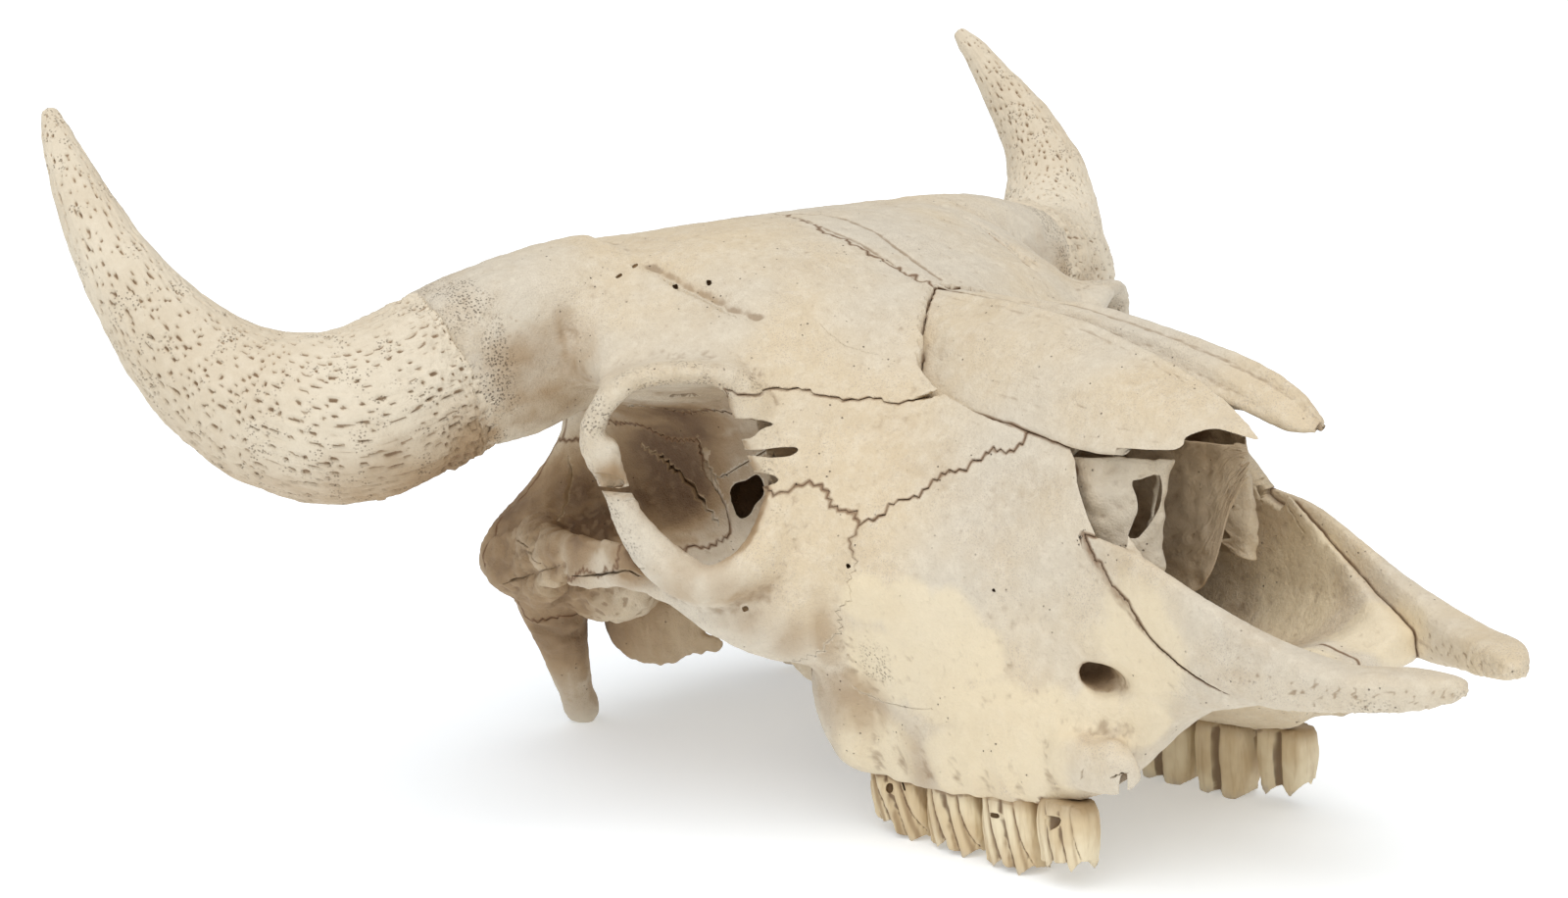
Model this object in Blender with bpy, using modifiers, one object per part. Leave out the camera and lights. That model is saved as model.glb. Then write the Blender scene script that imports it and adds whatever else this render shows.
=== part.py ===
"""Skull of an American bison bull, life size, without the lower jaw and without the horn sheaths.

It rests on its cheek teeth and on the two paracondylar processes behind. Sizes below are in
millimetres from a point on the floor under the root of the nasal bones: X to the animal's left, -Y to
the nose, +Z up. The scene is in metres, with its origin on the floor under the middle of the skull.
"""

import math

import bmesh
import bpy
from mathutils import Matrix, Vector

MM = 0.001
SEAM = 0.4
SIDES = {"right": -1, "left": 1}

# The model's origin, and the settings that make its skins
ORIGIN = Vector((0, -15, 0))
FLOOR = 0.0
FLOOR_REACH = 400
FLOOR_DEPTH = 60
BLOCK_VOXEL = 3.0
BLOCK_FACES = 4900
SOFTEN_BONE, SOFTEN_HOLES, SOFTEN_BLOCK = 4, 2, 3
FLAT_ANGLE = 0.8
BULLA_VOXEL = 2.0
BULLA_FACES = 220

# Cross-sections of the fused braincase and face, each at one Y. Every half outline runs from the top
# midline over the lateral edge, through the temporal notch and the widest low point, to the palate or
# the base of the skull at the midline.
HEAD_SECTIONS = [
    (203, [(0, 186), (26, 187), (44, 182), (56, 174), (58, 164), (54, 152), (54, 138), (74, 119),
           (94, 101), (90, 85), (48, 68), (0, 66)]),
    (194, [(0, 203), (30, 205), (55, 201), (70, 190), (70, 178), (64, 160), (62, 142), (88, 120),
           (113, 100), (108, 78), (58, 62), (0, 58)]),
    (178, [(0, 229), (45, 230), (84, 229), (108, 222), (110, 205), (88, 183), (68, 160), (78, 132),
           (114, 102), (107, 76), (56, 64), (0, 60)]),
    (150, [(0, 239), (50, 240), (98, 240), (134, 232), (140, 202), (106, 178), (67, 158), (68, 130),
           (102, 104), (98, 78), (48, 68), (0, 64)]),
    (115, [(0, 246), (50, 246), (98, 244), (134, 234), (142, 198), (106, 178), (64, 160), (60, 130),
           (76, 108), (68, 86), (34, 73), (0, 69)]),
    (80, [(0, 248), (50, 247), (94, 241), (128, 226), (139, 196), (106, 182), (62, 166), (55, 136),
          (58, 112), (50, 93), (28, 79), (0, 75)]),
    (45, [(0, 242), (48, 240), (92, 229), (128, 211), (143, 196), (104, 188), (58, 174), (46, 142),
          (43, 114), (38, 94), (24, 81), (0, 77)]),
    (12, [(0, 229), (42, 227), (80, 217), (108, 203), (102, 190), (72, 181), (47, 166), (40, 136),
          (38, 108), (38, 88), (24, 77), (0, 75)]),
    (-14, [(0, 221), (32, 214), (66, 197), (94, 174), (108, 144), (112, 120), (105, 98), (90, 72),
           (80, 48), (74, 30), (46, 42), (0, 60)]),
    (-38, [(0, 219), (28, 206), (48, 187), (78, 160), (95, 136), (100, 115), (96, 94), (88, 70),
           (82, 47), (76, 25), (50, 34), (0, 54)]),
    (-66, [(0, 213), (28, 199), (47, 182), (67, 156), (82, 132), (89, 110), (89, 88), (87, 66),
           (84, 45), (77, 26), (50, 34), (0, 54)]),
    (-100, [(0, 204), (28, 192), (45, 176), (57, 152), (69, 128), (75, 106), (79, 84), (83, 64),
            (82, 46), (75, 28), (48, 36), (0, 56)]),
    (-132, [(0, 190), (28, 182), (45, 168), (55, 148), (61, 124), (64, 104), (68, 84), (74, 64),
            (75, 46), (69, 32), (42, 42), (0, 60)]),
    (-160, [(0, 150), (28, 148), (46, 142), (55, 134), (58, 120), (59, 104), (59, 88), (61, 70),
            (62, 54), (56, 44), (36, 54), (0, 68)]),
    (-176, [(0, 135), (28, 134), (44, 131), (53, 124), (56, 113), (56, 102), (55, 92), (54, 82),
            (52, 74), (44, 70), (26, 70), (0, 72)]),
    (-205, [(0, 115), (24, 115), (38, 113), (47, 109), (51, 103), (52, 98), (51, 92), (49, 87),
            (45, 82), (34, 80), (18, 80), (0, 82)]),
    (-232, [(0, 102), (18, 102), (30, 101), (38, 99), (42, 97), (43, 94), (42, 91), (40, 89),
            (36, 87), (26, 86), (14, 86), (0, 87)]),
]

# The left half of the roof lies a little lower than the right
ROOF = 190.0
LEFT_SINK = 0.03
PEDICLE_LIFT = {"right": 3.0, "left": -3.0}

# Paths of bars, as (centre, half thickness across, half height)
PEDICLE = [((92, 112, 214), 36, 34), ((128, 116, 206), 37, 38), ((154, 121, 199), 37, 39),
           ((174, 126, 193), 37, 39)]
MALAR = [((96, -26, 106), 12, 30), ((112, -10, 103), 11, 24), ((126, 4, 104), 9, 14),
         ((137, 24, 110), 6.5, 7.5), ((140, 50, 111), 4.5, 5), ((138, 78, 105.5), 4.5, 4.5),
         ((134, 97, 101.5), 3.5, 4)]
TEMPORAL_ARCH = [((96, 172, 92), 14, 24), ((108, 150, 98), 11, 19), ((122, 122, 107), 7, 13),
                 ((132, 90, 114.5), 5, 9.5), ((139, 60, 120), 4, 7.5), ((142, 42, 124), 3, 5.5)]
PREMAXILLA = [((58, -139, 141), 2.5, 5), ((56.5, -162, 128), 4, 12), ((54.5, -188, 113.5), 5, 15),
              ((49.5, -212, 103.5), 7, 15), ((44, -234, 99), 9, 12.5), ((37, -258, 98), 11, 8.5),
              ((26, -280, 99.5), 11.5, 6.5), ((15, -294, 100.5), 5.5, 3.5)]
PARACONDYLAR = {
    "right": [((84, 180, 84), 20, 16), ((79, 185, 60), 16, 12), ((70, 190, 36), 11, 10.5),
              ((62, 195, 16), 8.5, 9), ((58, 197, 6), 9, 9), ((57, 197, -10), 8.5, 8)],
    "left": [((84, 180, 84), 20, 16), ((82, 183, 60), 15, 12), ((77, 185, 36), 11, 10.5),
             ((73, 187, 16), 8.5, 9), ((71, 188, 6), 8.5, 8.5), ((71, 188, -10), 8, 8)],
}
BULLA_POINT = [((43, 134, 50), 6, 9), ((38, 124, 48), 4, 6), ((33, 116, 47.5), 2, 2.5)]
PTERYGOID = [((30, 100, 82), 6, 10), ((31, 78, 74), 5, 20), ((31, 52, 64), 5, 26), ((30, 24, 56), 5, 22),
             ((31, 2, 52), 6, 16), ((32, -14, 50), 8, 12)]
BASE = [((0, 208, 66), 24, 10), ((0, 180, 68), 26, 10), ((0, 140, 72), 22, 10), ((0, 90, 78), 18, 10),
        ((0, 30, 84), 14, 12)]

# Rounded lumps, as (centre, radii): the condyle, the swelling behind the last tooth, the base of the
# temporal bone round the ear, the knob for the neck's ligament and the bladder of the middle ear
CONDYLE = ((34, 208, 76), (23, 19, 21))
TUBER = ((80, -26, 68), (14, 22, 40))
EAR_BASE = ((77, 143, 86), (22, 30, 23))
NUCHAL_KNOB = ((0, 200, 176), (22, 12, 17))
BULLA_BODY = ((50, 147, 56), (9, 26, 21))
BULLA_TURN = -30

# Horn cores, from the burr to the tip, as (centre, radius). The two differ a little, as real ones do.
HORN_RIGHT = [((175, 127, 195), 38.5), ((190, 130, 191), 38.3), ((210, 134, 185), 38.6),
              ((228, 144, 184.5), 37.4), ((244.5, 161, 191), 33.8), ((259, 177.5, 205), 29),
              ((272.5, 192, 226.5), 22.8), ((281, 212, 255.5), 16.8), ((280, 242, 287), 11.2),
              ((276.5, 261, 307), 6.4), ((275, 267, 314), 4)]
HORN_LEFT = [((175, 127, 194), 38.5), ((189, 130, 190), 38), ((207, 137, 187), 37.3),
             ((224, 150, 188), 34.8), ((242, 167, 195), 31.4), ((259, 182, 208), 27.6),
             ((271.5, 195, 227), 22.8), ((277, 212, 249.5), 17.2), ((277.5, 233, 272), 12.4),
             ((276, 251, 292), 8), ((275, 264, 304), 4)]

HORN_CORES = {"right": HORN_RIGHT, "left": HORN_LEFT}

# The rim of the eye socket, as (centre, half thickness outwards, half depth), round the opening
ORBIT_RIM = [((108, 2, 197), 7, 8), ((131, 16, 206), 7, 9), ((152, 27, 203), 7, 8), ((165, 37, 182), 7, 7),
             ((158.5, 37, 157), 6.5, 7), ((150, 22, 130), 7.5, 8), ((140, 1, 115.5), 9, 9),
             ((122, -13, 123), 10, 9), ((106, -12, 144), 8, 8), ((101, 0, 171), 6, 7)]
LEFT_ORBIT_SHIFT = (-6.5, 3, -2)
SOCKET = [((150, -16, 168), 37, 33), ((134, 12, 163), 36, 32.5), ((116, 30, 158), 35, 33),
          ((92, 42, 155), 32, 29), ((66, 48, 152), 24, 22)]
NASAL_CAVITY = [((0, -330, 120), 40, 18), ((0, -240, 114), 30, 18), ((0, -215, 120), 36, 22),
                ((0, -180, 124), 45, 40), ((0, -150, 128), 50, 48), ((0, -125, 130), 49, 54),
                ((0, -95, 130), 47, 58), ((0, -60, 132), 44, 54), ((0, -30, 128), 34, 38)]
CHOANA = [((0, -40, 100), 20, 16), ((0, -10, 80), 24, 24), ((0, 30, 58), 25, 38), ((0, 80, 50), 24, 30),
          ((0, 110, 40), 20, 22)]
INFRAORBITAL = [((70, -174, 83), 9, 6.5), ((62, -158, 85), 9, 6.5), ((50, -132, 90), 8, 6)]
MAGNUM = [((0, 240, 92), 19, 17), ((0, 205, 95), 18, 17), ((0, 175, 104), 18, 17), ((0, 130, 116), 26, 24)]

# Nasal bones, as (medial edge, crown, lateral edge) of the outer face at each station, back to tip
NASAL_RIGHT = [((1.2, -2, 222), (20, -14, 212), (41, -32, 184)),
               ((1.2, -30, 221), (25, -40, 209), (44, -54, 182.5)),
               ((2, -60, 220), (27, -64, 207), (45, -74, 181)),
               ((3.5, -92, 217), (28, -95, 204), (45, -99, 178.5)),
               ((5, -122, 210.5), (28, -124, 199), (45, -126, 174.5)),
               ((7, -148, 203.5), (27, -150, 194), (42, -152, 175)),
               ((11, -172, 196), (25, -173, 189.5), (35.5, -172, 177)),
               ((16, -190, 188.5), (23, -190, 185.5), (29, -187, 180.5)),
               ((19, -200, 182), (21.5, -200, 181.5), (24, -198, 180))]
NASAL_LEFT = [((1.2, -2, 222), (20, -14, 214), (41, -32, 184)),
              ((1.5, -30, 221), (22, -42, 214), (44, -54, 182.5)),
              ((3, -62, 215.5), (22, -66, 217.5), (45, -74, 181)),
              ((5, -94, 208), (24, -98, 213.5), (46, -100, 179)),
              ((7, -124, 200), (26, -128, 208), (46, -128, 177)),
              ((10, -152, 191), (27, -156, 201.5), (44, -154, 180)),
              ((14, -172, 184.5), (26, -176, 194.5), (38, -174, 182)),
              ((18, -186, 180.5), (25, -187, 188), (32, -184, 182.5)),
              ((21, -194, 179.5), (24, -195, 182.5), (27, -193, 181))]
NASALS = {"right": NASAL_RIGHT, "left": NASAL_LEFT}
NASAL_THICKNESS = 3.2
CLEARANCE_ABOVE = 40.0

# Cheek teeth from the back, as (back end, front end, root height, lowest point of the crown, X of the
# inner wall, and how much higher the chewing edge is at the back, or at the front if negative)
TEETH = [("molar_3", -24, -57.5, 26, -4, 56, 11), ("molar_2", -59, -90, 27.5, -3, 54.5, 2),
         ("molar_1", -92, -122, 30, -2.5, 56, 0), ("premolar_4", -124.5, -152, 33, 4.5, 60, -4)]
CUSP_HEIGHT = 4.5
BASIN_DEPTH = 6.0
TOOTH_RIB = 1.3
RIB_REACH = 0.3
OUTER_CUSP_LIFT = 3.0
TOOTH_OUTER = 77.5
TOOTH_CORNER = 0.6
NECK_SPREAD, BELLY_SPREAD, EDGE_SPREAD, BASIN_SPREAD = 0.93, 0.99, 0.93, 0.4
TOOTH_ROOM = 1.2
GUTTER_SPAN = (50, 90)
GUTTER_DROP = 20

# Plates inside the nose: the scroll as (top edge, bottom edge) of each rib, and the upright middle
# plate as (Y, bottom, top)
SCROLL = [((44, -60, 168), (46, -60, 112)), ((43, -95, 169), (45, -95, 112)),
          ((40, -124, 170), (43, -122, 114)), ((34, -142, 170.5), (37, -142, 116)),
          ((26, -151, 170), (29, -152, 118)), ((20, -149, 168), (24, -150, 120)),
          ((17.5, -137, 164), (21, -139, 124))]
SCROLL_HALF = 0.9
SEPTUM = [(-64, 112, 170), (-100, 102, 171), (-136, 105, 172.5), (-152, 112, 173), (-160, 124, 173.5),
          (-168, 148, 174), (-180, 166, 174)]
SEPTUM_FOOT = 3.0
SEPTUM_HALF = 1.2

# Seams between the bones, seen from the side as (Y, Z), each the outline of one bone
FRONTAL_OUTLINE = [(-80, 300), (-80, 200), (-33, 184), (-14, 188.5), (4, 196), (14, 176), (26, 157.5),
                   (52, 157.5), (62, 168), (112, 170), (150, 176), (186, 212), (230, 236), (230, 300)]
LACRIMAL_OUTLINE = [(-33, 184), (-14, 188.5), (4, 196), (14, 176), (24, 152), (0, 151.5), (-24, 154),
                    (-44, 139), (-57, 149.5), (-78, 165.5), (-98, 173), (-100, 186), (-72, 190)]
ZYGOMATIC_OUTLINE = [(-44, 139), (-24, 154), (0, 151.5), (24, 152), (26, 157.5), (52, 157.5), (50, 116),
                     (60, 113.5), (97, 104.2), (112, 101), (112, 88), (40, 84), (24, 72), (2, 62),
                     (-34, 90), (-46, 113)]
TEMPORAL_OUTLINE = [(36, 119), (36, 140), (60, 140), (96, 150), (150, 156), (187, 140), (187, 62),
                    (128, 62), (112, 76), (112, 101), (97, 104.2), (60, 113.5), (50, 116)]
MAXILLA_OUTLINE = [(-330, 300), (-330, -10), (8, -10), (8, 58), (2, 62), (-34, 90), (-46, 113),
                   (-44, 139), (-57, 149.5), (-78, 165.5), (-98, 173), (-98, 300)]
PALATINE_OUTLINE = [(-46, 10), (-46, 66), (-10, 84), (96, 86), (118, 60), (118, 0), (-14, 0)]
OCCIPITAL_OUTLINE = [(128, -10), (128, 88), (160, 92), (182, 108), (182, 212), (196, 260), (260, 260),
                     (260, -10)]

# From which X each bone is taken out of the block, in the order of the cuts
OUTSIDE = 260
PAIRED_BONES = [("frontal", FRONTAL_OUTLINE, SEAM / 2, OUTSIDE),
                ("zygomatic", ZYGOMATIC_OUTLINE, 84, OUTSIDE),
                ("lacrimal", LACRIMAL_OUTLINE, 24, OUTSIDE), ("temporal", TEMPORAL_OUTLINE, 57, OUTSIDE),
                ("palatine", PALATINE_OUTLINE, SEAM / 2, 44),
                ("maxilla", MAXILLA_OUTLINE, SEAM / 2, OUTSIDE)]

BONE = (0.80, 0.74, 0.62)
COLOURS = {
    "bone": (BONE, 0.62),
    "horn_core": ((0.74, 0.66, 0.52), 0.72),
    "tooth": ((0.72, 0.55, 0.30), 0.38),
    "inner_bone": ((0.60, 0.50, 0.38), 0.68),
}


def clear_scene():
    for obj in list(bpy.data.objects):
        bpy.data.objects.remove(obj)


def collection(name):
    found = bpy.data.collections.new(name)
    bpy.context.scene.collection.children.link(found)
    return found


def spline(points, spans, closed=False):
    """Points of a smooth curve through the given points, as a Catmull-Rom spline."""
    points = [Vector(p) for p in points]
    count = len(points)
    curve = []
    for i in range(count if closed else count - 1):
        if closed:
            a, b, c, d = (points[(i + k) % count] for k in (-1, 0, 1, 2))
        else:
            b, c = points[i], points[i + 1]
            a = points[i - 1] if i else b * 2 - c
            d = points[i + 2] if i + 2 < count else c * 2 - b
        for step in range(spans):
            t = step / spans
            curve.append(0.5 * (2 * b + (c - a) * t + (2 * a - 5 * b + 4 * c - d) * t * t
                                + (3 * b - a - 3 * c + d) * t * t * t))
    if not closed:
        curve.append(points[-1])
    return curve


def loft(bm, rings, strip_caps=False):
    """A closed skin over rings of equal counts. A cap is one face, or a strip of four-sided ones
    between the two halves of a ring that is the outline of a plate."""
    rows = [[bm.verts.new(p) for p in ring] for ring in rings]
    count = len(rows[0])
    for low, high in zip(rows, rows[1:]):
        for i in range(count):
            j = (i + 1) % count
            bm.faces.new((low[i], low[j], high[j], high[i]))
    for row in (rows[0], rows[-1][::-1]):
        if not strip_caps:
            bm.faces.new(row)
            continue
        for i in range(count // 2 - 1):
            bm.faces.new((row[i], row[i + 1], row[count - 2 - i], row[count - 1 - i]))


def section_ring(y, half, spans=3):
    """The whole outline of a cross-section whose half outline is given."""
    left = [(x, z - LEFT_SINK * x if z > ROOF else z) for x, z in half]
    outline = left + [(-x, z) for x, z in half[-2:0:-1]]
    return [Vector((p.x, y, p.y)) for p in spline([(x, z, 0) for x, z in outline], spans, closed=True)]


def add_sections(bm, sections, spans=4):
    controls = [section_ring(y, half) for y, half in sections]
    columns = [spline(column, spans) for column in zip(*controls)]
    loft(bm, list(zip(*columns)))


def add_bar(bm, stations, side=1, spans=4, around=16, squareness=2.4, up=(0, 0, 1)):
    """A bar along a smooth path with a rounded-box section. side mirrors it across the midline."""
    centres = spline([c for c, _, _ in stations], spans)
    sizes = spline([(a, b, 0) for _, a, b in stations], spans)
    rings = []
    for i, (centre, size) in enumerate(zip(centres, sizes)):
        ahead = centres[min(i + 1, len(centres) - 1)] - centres[max(i - 1, 0)]
        ahead.normalize()
        across = ahead.cross(Vector(up)).normalized()
        over = across.cross(ahead)
        ring = []
        for k in range(around):
            angle = 2 * math.pi * k / around
            c, s = math.cos(angle), math.sin(angle)
            a = math.copysign(abs(c) ** (2 / squareness), c) * size.x
            b = math.copysign(abs(s) ** (2 / squareness), s) * size.y
            p = centre + across * a + over * b
            ring.append(Vector((p.x * side, p.y, p.z)))
        rings.append(ring)
    loft(bm, rings)


def add_ball(bm, lump, side=1, turn=0):
    """An ellipsoid given as (centre, radii), turned about the upright axis by degrees."""
    centre, radii = lump
    place = Matrix.Translation((centre[0] * side, centre[1], centre[2]))
    spin = Matrix.Rotation(math.radians(turn) * side, 4, "Z")
    bmesh.ops.create_uvsphere(bm, u_segments=24, v_segments=12, radius=1,
                              matrix=place @ spin @ Matrix.Diagonal((*radii, 1)))


def finish_mesh(bm, name, place):
    """The bmesh, in millimetres, as an object in metres."""
    bmesh.ops.recalc_face_normals(bm, faces=bm.faces)
    bm.transform(Matrix.Scale(MM, 4) @ Matrix.Translation(-ORIGIN))
    return to_object(bm, name, place)


def to_object(bm, name, place):
    mesh = bpy.data.meshes.new(name)
    bm.to_mesh(mesh)
    bm.free()
    obj = bpy.data.objects.new(name, mesh)
    place.objects.link(obj)
    return obj


def solid(name, place, adders):
    bm = bmesh.new()
    for add in adders:
        add(bm)
    return finish_mesh(bm, name, place)


def settle(obj):
    """Replaces the object's mesh by what its modifiers make of it."""
    graph = bpy.context.evaluated_depsgraph_get()
    mesh = bpy.data.meshes.new_from_object(obj.evaluated_get(graph))
    obj.modifiers.clear()
    old = obj.data
    obj.data = mesh
    bpy.data.meshes.remove(old)
    return obj


def fuse(obj, voxel, rounds):
    """One skin round all that the object holds, softened."""
    remesh = obj.modifiers.new("Fuse", "REMESH")
    remesh.mode = "VOXEL"
    remesh.voxel_size = voxel * MM
    smooth = obj.modifiers.new("Soften", "SMOOTH")
    smooth.factor = 0.5
    smooth.iterations = rounds
    return settle(obj)


def thin_out(obj, faces):
    now = sum(len(p.vertices) - 2 for p in obj.data.polygons)
    decimate = obj.modifiers.new("Thin", "DECIMATE")
    decimate.ratio = min(1.0, faces / now)
    return settle(obj)


def combine(obj, other, operation, solver="MANIFOLD"):
    boolean = obj.modifiers.new("Combine", "BOOLEAN")
    boolean.operation = operation
    boolean.solver = solver
    boolean.object = other
    return settle(obj)


def prism(name, outline, span, side, place, grow=0.0):
    """A block with the outline, seen from the side, over the span of X."""
    bm = bmesh.new()
    low, high = sorted((span[0] * side, span[1] * side))
    face = bm.faces.new([bm.verts.new((low, y, z)) for y, z in outline])
    top = bmesh.ops.extrude_face_region(bm, geom=[face])["geom"]
    ends = [v for v in top if isinstance(v, bmesh.types.BMVert)]
    bmesh.ops.translate(bm, verts=ends, vec=(high - low, 0, 0))
    bmesh.ops.recalc_face_normals(bm, faces=bm.faces)
    swell(bm, grow)
    bmesh.ops.triangulate(bm, faces=bm.faces)
    return finish_mesh(bm, name, place)


def swell(bm, distance):
    bm.normal_update()
    moves = [(v, v.normal * distance * v.calc_shell_factor()) for v in bm.verts]
    for v, move in moves:
        v.co += move


def swollen(obj, place):
    """A copy of the object, larger all round by the seam's width."""
    bm = bmesh.new()
    bm.from_mesh(obj.data)
    bmesh.ops.triangulate(bm, faces=bm.faces)
    swell(bm, SEAM * MM)
    return to_object(bm, obj.name + "_swollen", place)


def remove(obj):
    bpy.data.objects.remove(obj)


def duplicate(obj, name, place):
    twin = bpy.data.objects.new(name, obj.data.copy())
    place.objects.link(twin)
    return twin


def volume(bm_faces):
    return sum(f.calc_center_median().dot(f.normal) * f.calc_area() for f in bm_faces) / 3


def keep_largest(obj):
    """Leaves only the largest closed surface of the mesh."""
    bm = bmesh.new()
    bm.from_mesh(obj.data)
    bmesh.ops.triangulate(bm, faces=bm.faces)
    waiting = set(bm.faces)
    bodies = []
    while waiting:
        body, front = [], [waiting.pop()]
        while front:
            face = front.pop()
            body.append(face)
            for edge in face.edges:
                for other in edge.link_faces:
                    if other in waiting:
                        waiting.remove(other)
                        front.append(other)
        bodies.append(body)
    bodies.sort(key=volume)
    extra = [face for body in bodies[:-1] for face in body]
    bmesh.ops.delete(bm, geom=extra, context="FACES")
    bm.to_mesh(obj.data)
    bm.free()


def flatten(obj, degrees):
    """Joins neighbouring facets that lie in one plane."""
    dissolve = obj.modifiers.new("Flatten", "DECIMATE")
    dissolve.decimate_type = "DISSOLVE"
    dissolve.angle_limit = math.radians(degrees)
    settle(obj)


def carve(block, name, outline, span, side, bones, cutters):
    """Takes the bone inside the outline out of the block, leaving the seam's gap."""
    inside = prism(name + "_inside", outline, span, side, cutters)
    around = prism(name + "_around", outline, span, side, cutters, grow=SEAM)
    bone = duplicate(block, name, bones)
    combine(bone, inside, "INTERSECT")
    keep_largest(bone)
    flatten(bone, FLAT_ANGLE)
    combine(block, around, "DIFFERENCE")
    remove(inside)
    remove(around)
    return bone


def moved(stations, offset):
    """The same stations, each with its centre shifted."""
    return [(Vector(centre) + Vector(offset), wide, high) for centre, wide, high in stations]


def orbit_shift(side):
    return LEFT_ORBIT_SHIFT if side > 0 else (0, 0, 0)


def head_block(place):
    """Everything that is one mass of bone, before its seams are cut."""
    def sections(bm):
        add_sections(bm, HEAD_SECTIONS)

    def bars(bm):
        for word, side in SIDES.items():
            add_bar(bm, moved(PEDICLE, (0, 0, PEDICLE_LIFT[word])), side)
            for path in (MALAR, TEMPORAL_ARCH, PARACONDYLAR[word], PTERYGOID):
                add_bar(bm, path, side)
            add_ring(bm, moved(ORBIT_RIM, orbit_shift(side)), side)
            for lump in (CONDYLE, TUBER, EAR_BASE):
                add_ball(bm, lump, side)
        add_bar(bm, BASE)
        add_ball(bm, NUCHAL_KNOB)
    block = solid("block", place, [sections, bars])
    fuse(block, BLOCK_VOXEL, SOFTEN_BONE)
    holes = solid("holes", place, [hollows])
    fuse(holes, BLOCK_VOXEL, SOFTEN_HOLES)
    combine(block, holes, "DIFFERENCE")
    remove(holes)
    fuse(block, BLOCK_VOXEL, SOFTEN_BLOCK)
    return block


def add_ring(bm, stations, side, spans=4, around=12):
    """A closed bar whose section is widest away from the middle of the ring."""
    middle = sum((Vector(c) for c, _, _ in stations), Vector()) / len(stations)
    centres = spline([c for c, _, _ in stations], spans, closed=True)
    sizes = spline([(a, b, 0) for _, a, b in stations], spans, closed=True)
    count = len(centres)
    rows = []
    for i, (centre, size) in enumerate(zip(centres, sizes)):
        ahead = (centres[(i + 1) % count] - centres[i - 1]).normalized()
        out = centre - middle
        out -= ahead * out.dot(ahead)
        out.normalize()
        deep = ahead.cross(out)
        row = []
        for k in range(around):
            angle = 2 * math.pi * k / around
            p = centre + out * size.x * math.cos(angle) + deep * size.y * math.sin(angle)
            row.append(bm.verts.new((p.x * side, p.y, p.z)))
        rows.append(row)
    for i in range(count):
        low, high = rows[i], rows[(i + 1) % count]
        for k in range(around):
            j = (k + 1) % around
            bm.faces.new((low[k], low[j], high[j], high[k]))


def hollows(bm):
    for side in SIDES.values():
        add_bar(bm, moved(SOCKET, orbit_shift(side)), side, squareness=2)
        add_bar(bm, INFRAORBITAL, side, squareness=2)
    add_bar(bm, NASAL_CAVITY, squareness=2.6)
    add_bar(bm, CHOANA, squareness=3)
    add_bar(bm, MAGNUM, squareness=2)


def horn_core(name, stations, side, bones):
    """A tapered core whose base ring is square to the pedicle."""
    def tube(bm):
        path = [(centre, radius, radius) for centre, radius in stations]
        add_bar(bm, path, side, spans=2, around=14, squareness=2, up=(0.3, -0.9, 0.3))
    return solid(name, bones, [tube])


def nasal_rings(stations, side, thickness):
    """Sections of the arched strip. A negative thickness takes the space above it instead."""
    columns = [spline(column, 2) for column in zip(*stations)]
    rings = []
    for medial, crown, lateral in zip(*columns):
        outer = spline([medial, crown, lateral], 2)
        inner = []
        for k, p in enumerate(outer):
            along = outer[min(k + 1, len(outer) - 1)] - outer[max(k - 1, 0)]
            inward = Vector((along.z, 0, -along.x)).normalized() if k else Vector((0, 0, -1))
            inner.append(p + inward * thickness if thickness > 0 else p - Vector((0, 0, thickness)))
        rings.append([Vector((p.x * side, p.y, p.z)) for p in outer + inner[::-1]])
    return rings


def nasal(name, stations, side, bones):
    """An arched strip of bone, thick as a plate, from the forehead to its free tip."""
    def strip(bm):
        loft(bm, nasal_rings(stations, side, NASAL_THICKNESS), strip_caps=True)
    return solid(name, bones, [strip])


def clear_nasal(block, stations, side, cutters):
    """Takes from the block what would lie over the nasal bone."""
    def room(bm):
        loft(bm, nasal_rings(stations, side, -CLEARANCE_ABOVE), strip_caps=True)
        bmesh.ops.recalc_face_normals(bm, faces=bm.faces)
        swell(bm, SEAM)
    cutter = solid("nasal_room", cutters, [room])
    combine(block, cutter, "DIFFERENCE")
    remove(cutter)


def tooth(name, back, front, root, low, lingual, rise, side, bones):
    """A cheek tooth: ribbed on its outer wall, with two cusps and two lobes inside."""
    length = back - front
    width = (TOOTH_OUTER - lingual) / 2
    around = 20

    def ring(z, spread, drop, slope):
        outline = []
        for k in range(around):
            turn = 2 * math.pi * k / around
            c, s = math.cos(turn), math.sin(turn)
            along = math.copysign(abs(s) ** TOOTH_CORNER, s) * length / 2 * spread
            across = math.copysign(abs(c) ** TOOTH_CORNER, c) * width * spread
            wave = TOOTH_RIB * math.cos(4 * math.pi * along / length)
            rib = wave if c > RIB_REACH else -wave if c < -RIB_REACH else 0.0
            share = 0.5 + along / length if slope > 0 else 0.5 - along / length
            lift = drop * abs(math.cos(2 * math.pi * along / length)) + abs(slope) * share ** 2
            if drop:
                lift += OUTER_CUSP_LIFT * (across / width + 1) / 2
            x = lingual + width + across + rib
            outline.append(Vector((x * side, (back + front) / 2 + along, z + lift)))
        return outline

    def crown(bm):
        loft(bm, [ring(root, NECK_SPREAD, 0, 0), ring(root / 2, BELLY_SPREAD, 0, rise / 3),
                  ring(low, EDGE_SPREAD, CUSP_HEIGHT, rise),
                  ring(low + BASIN_DEPTH, BASIN_SPREAD, 0, rise)])
    return solid(name, bones, [crown])


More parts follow.
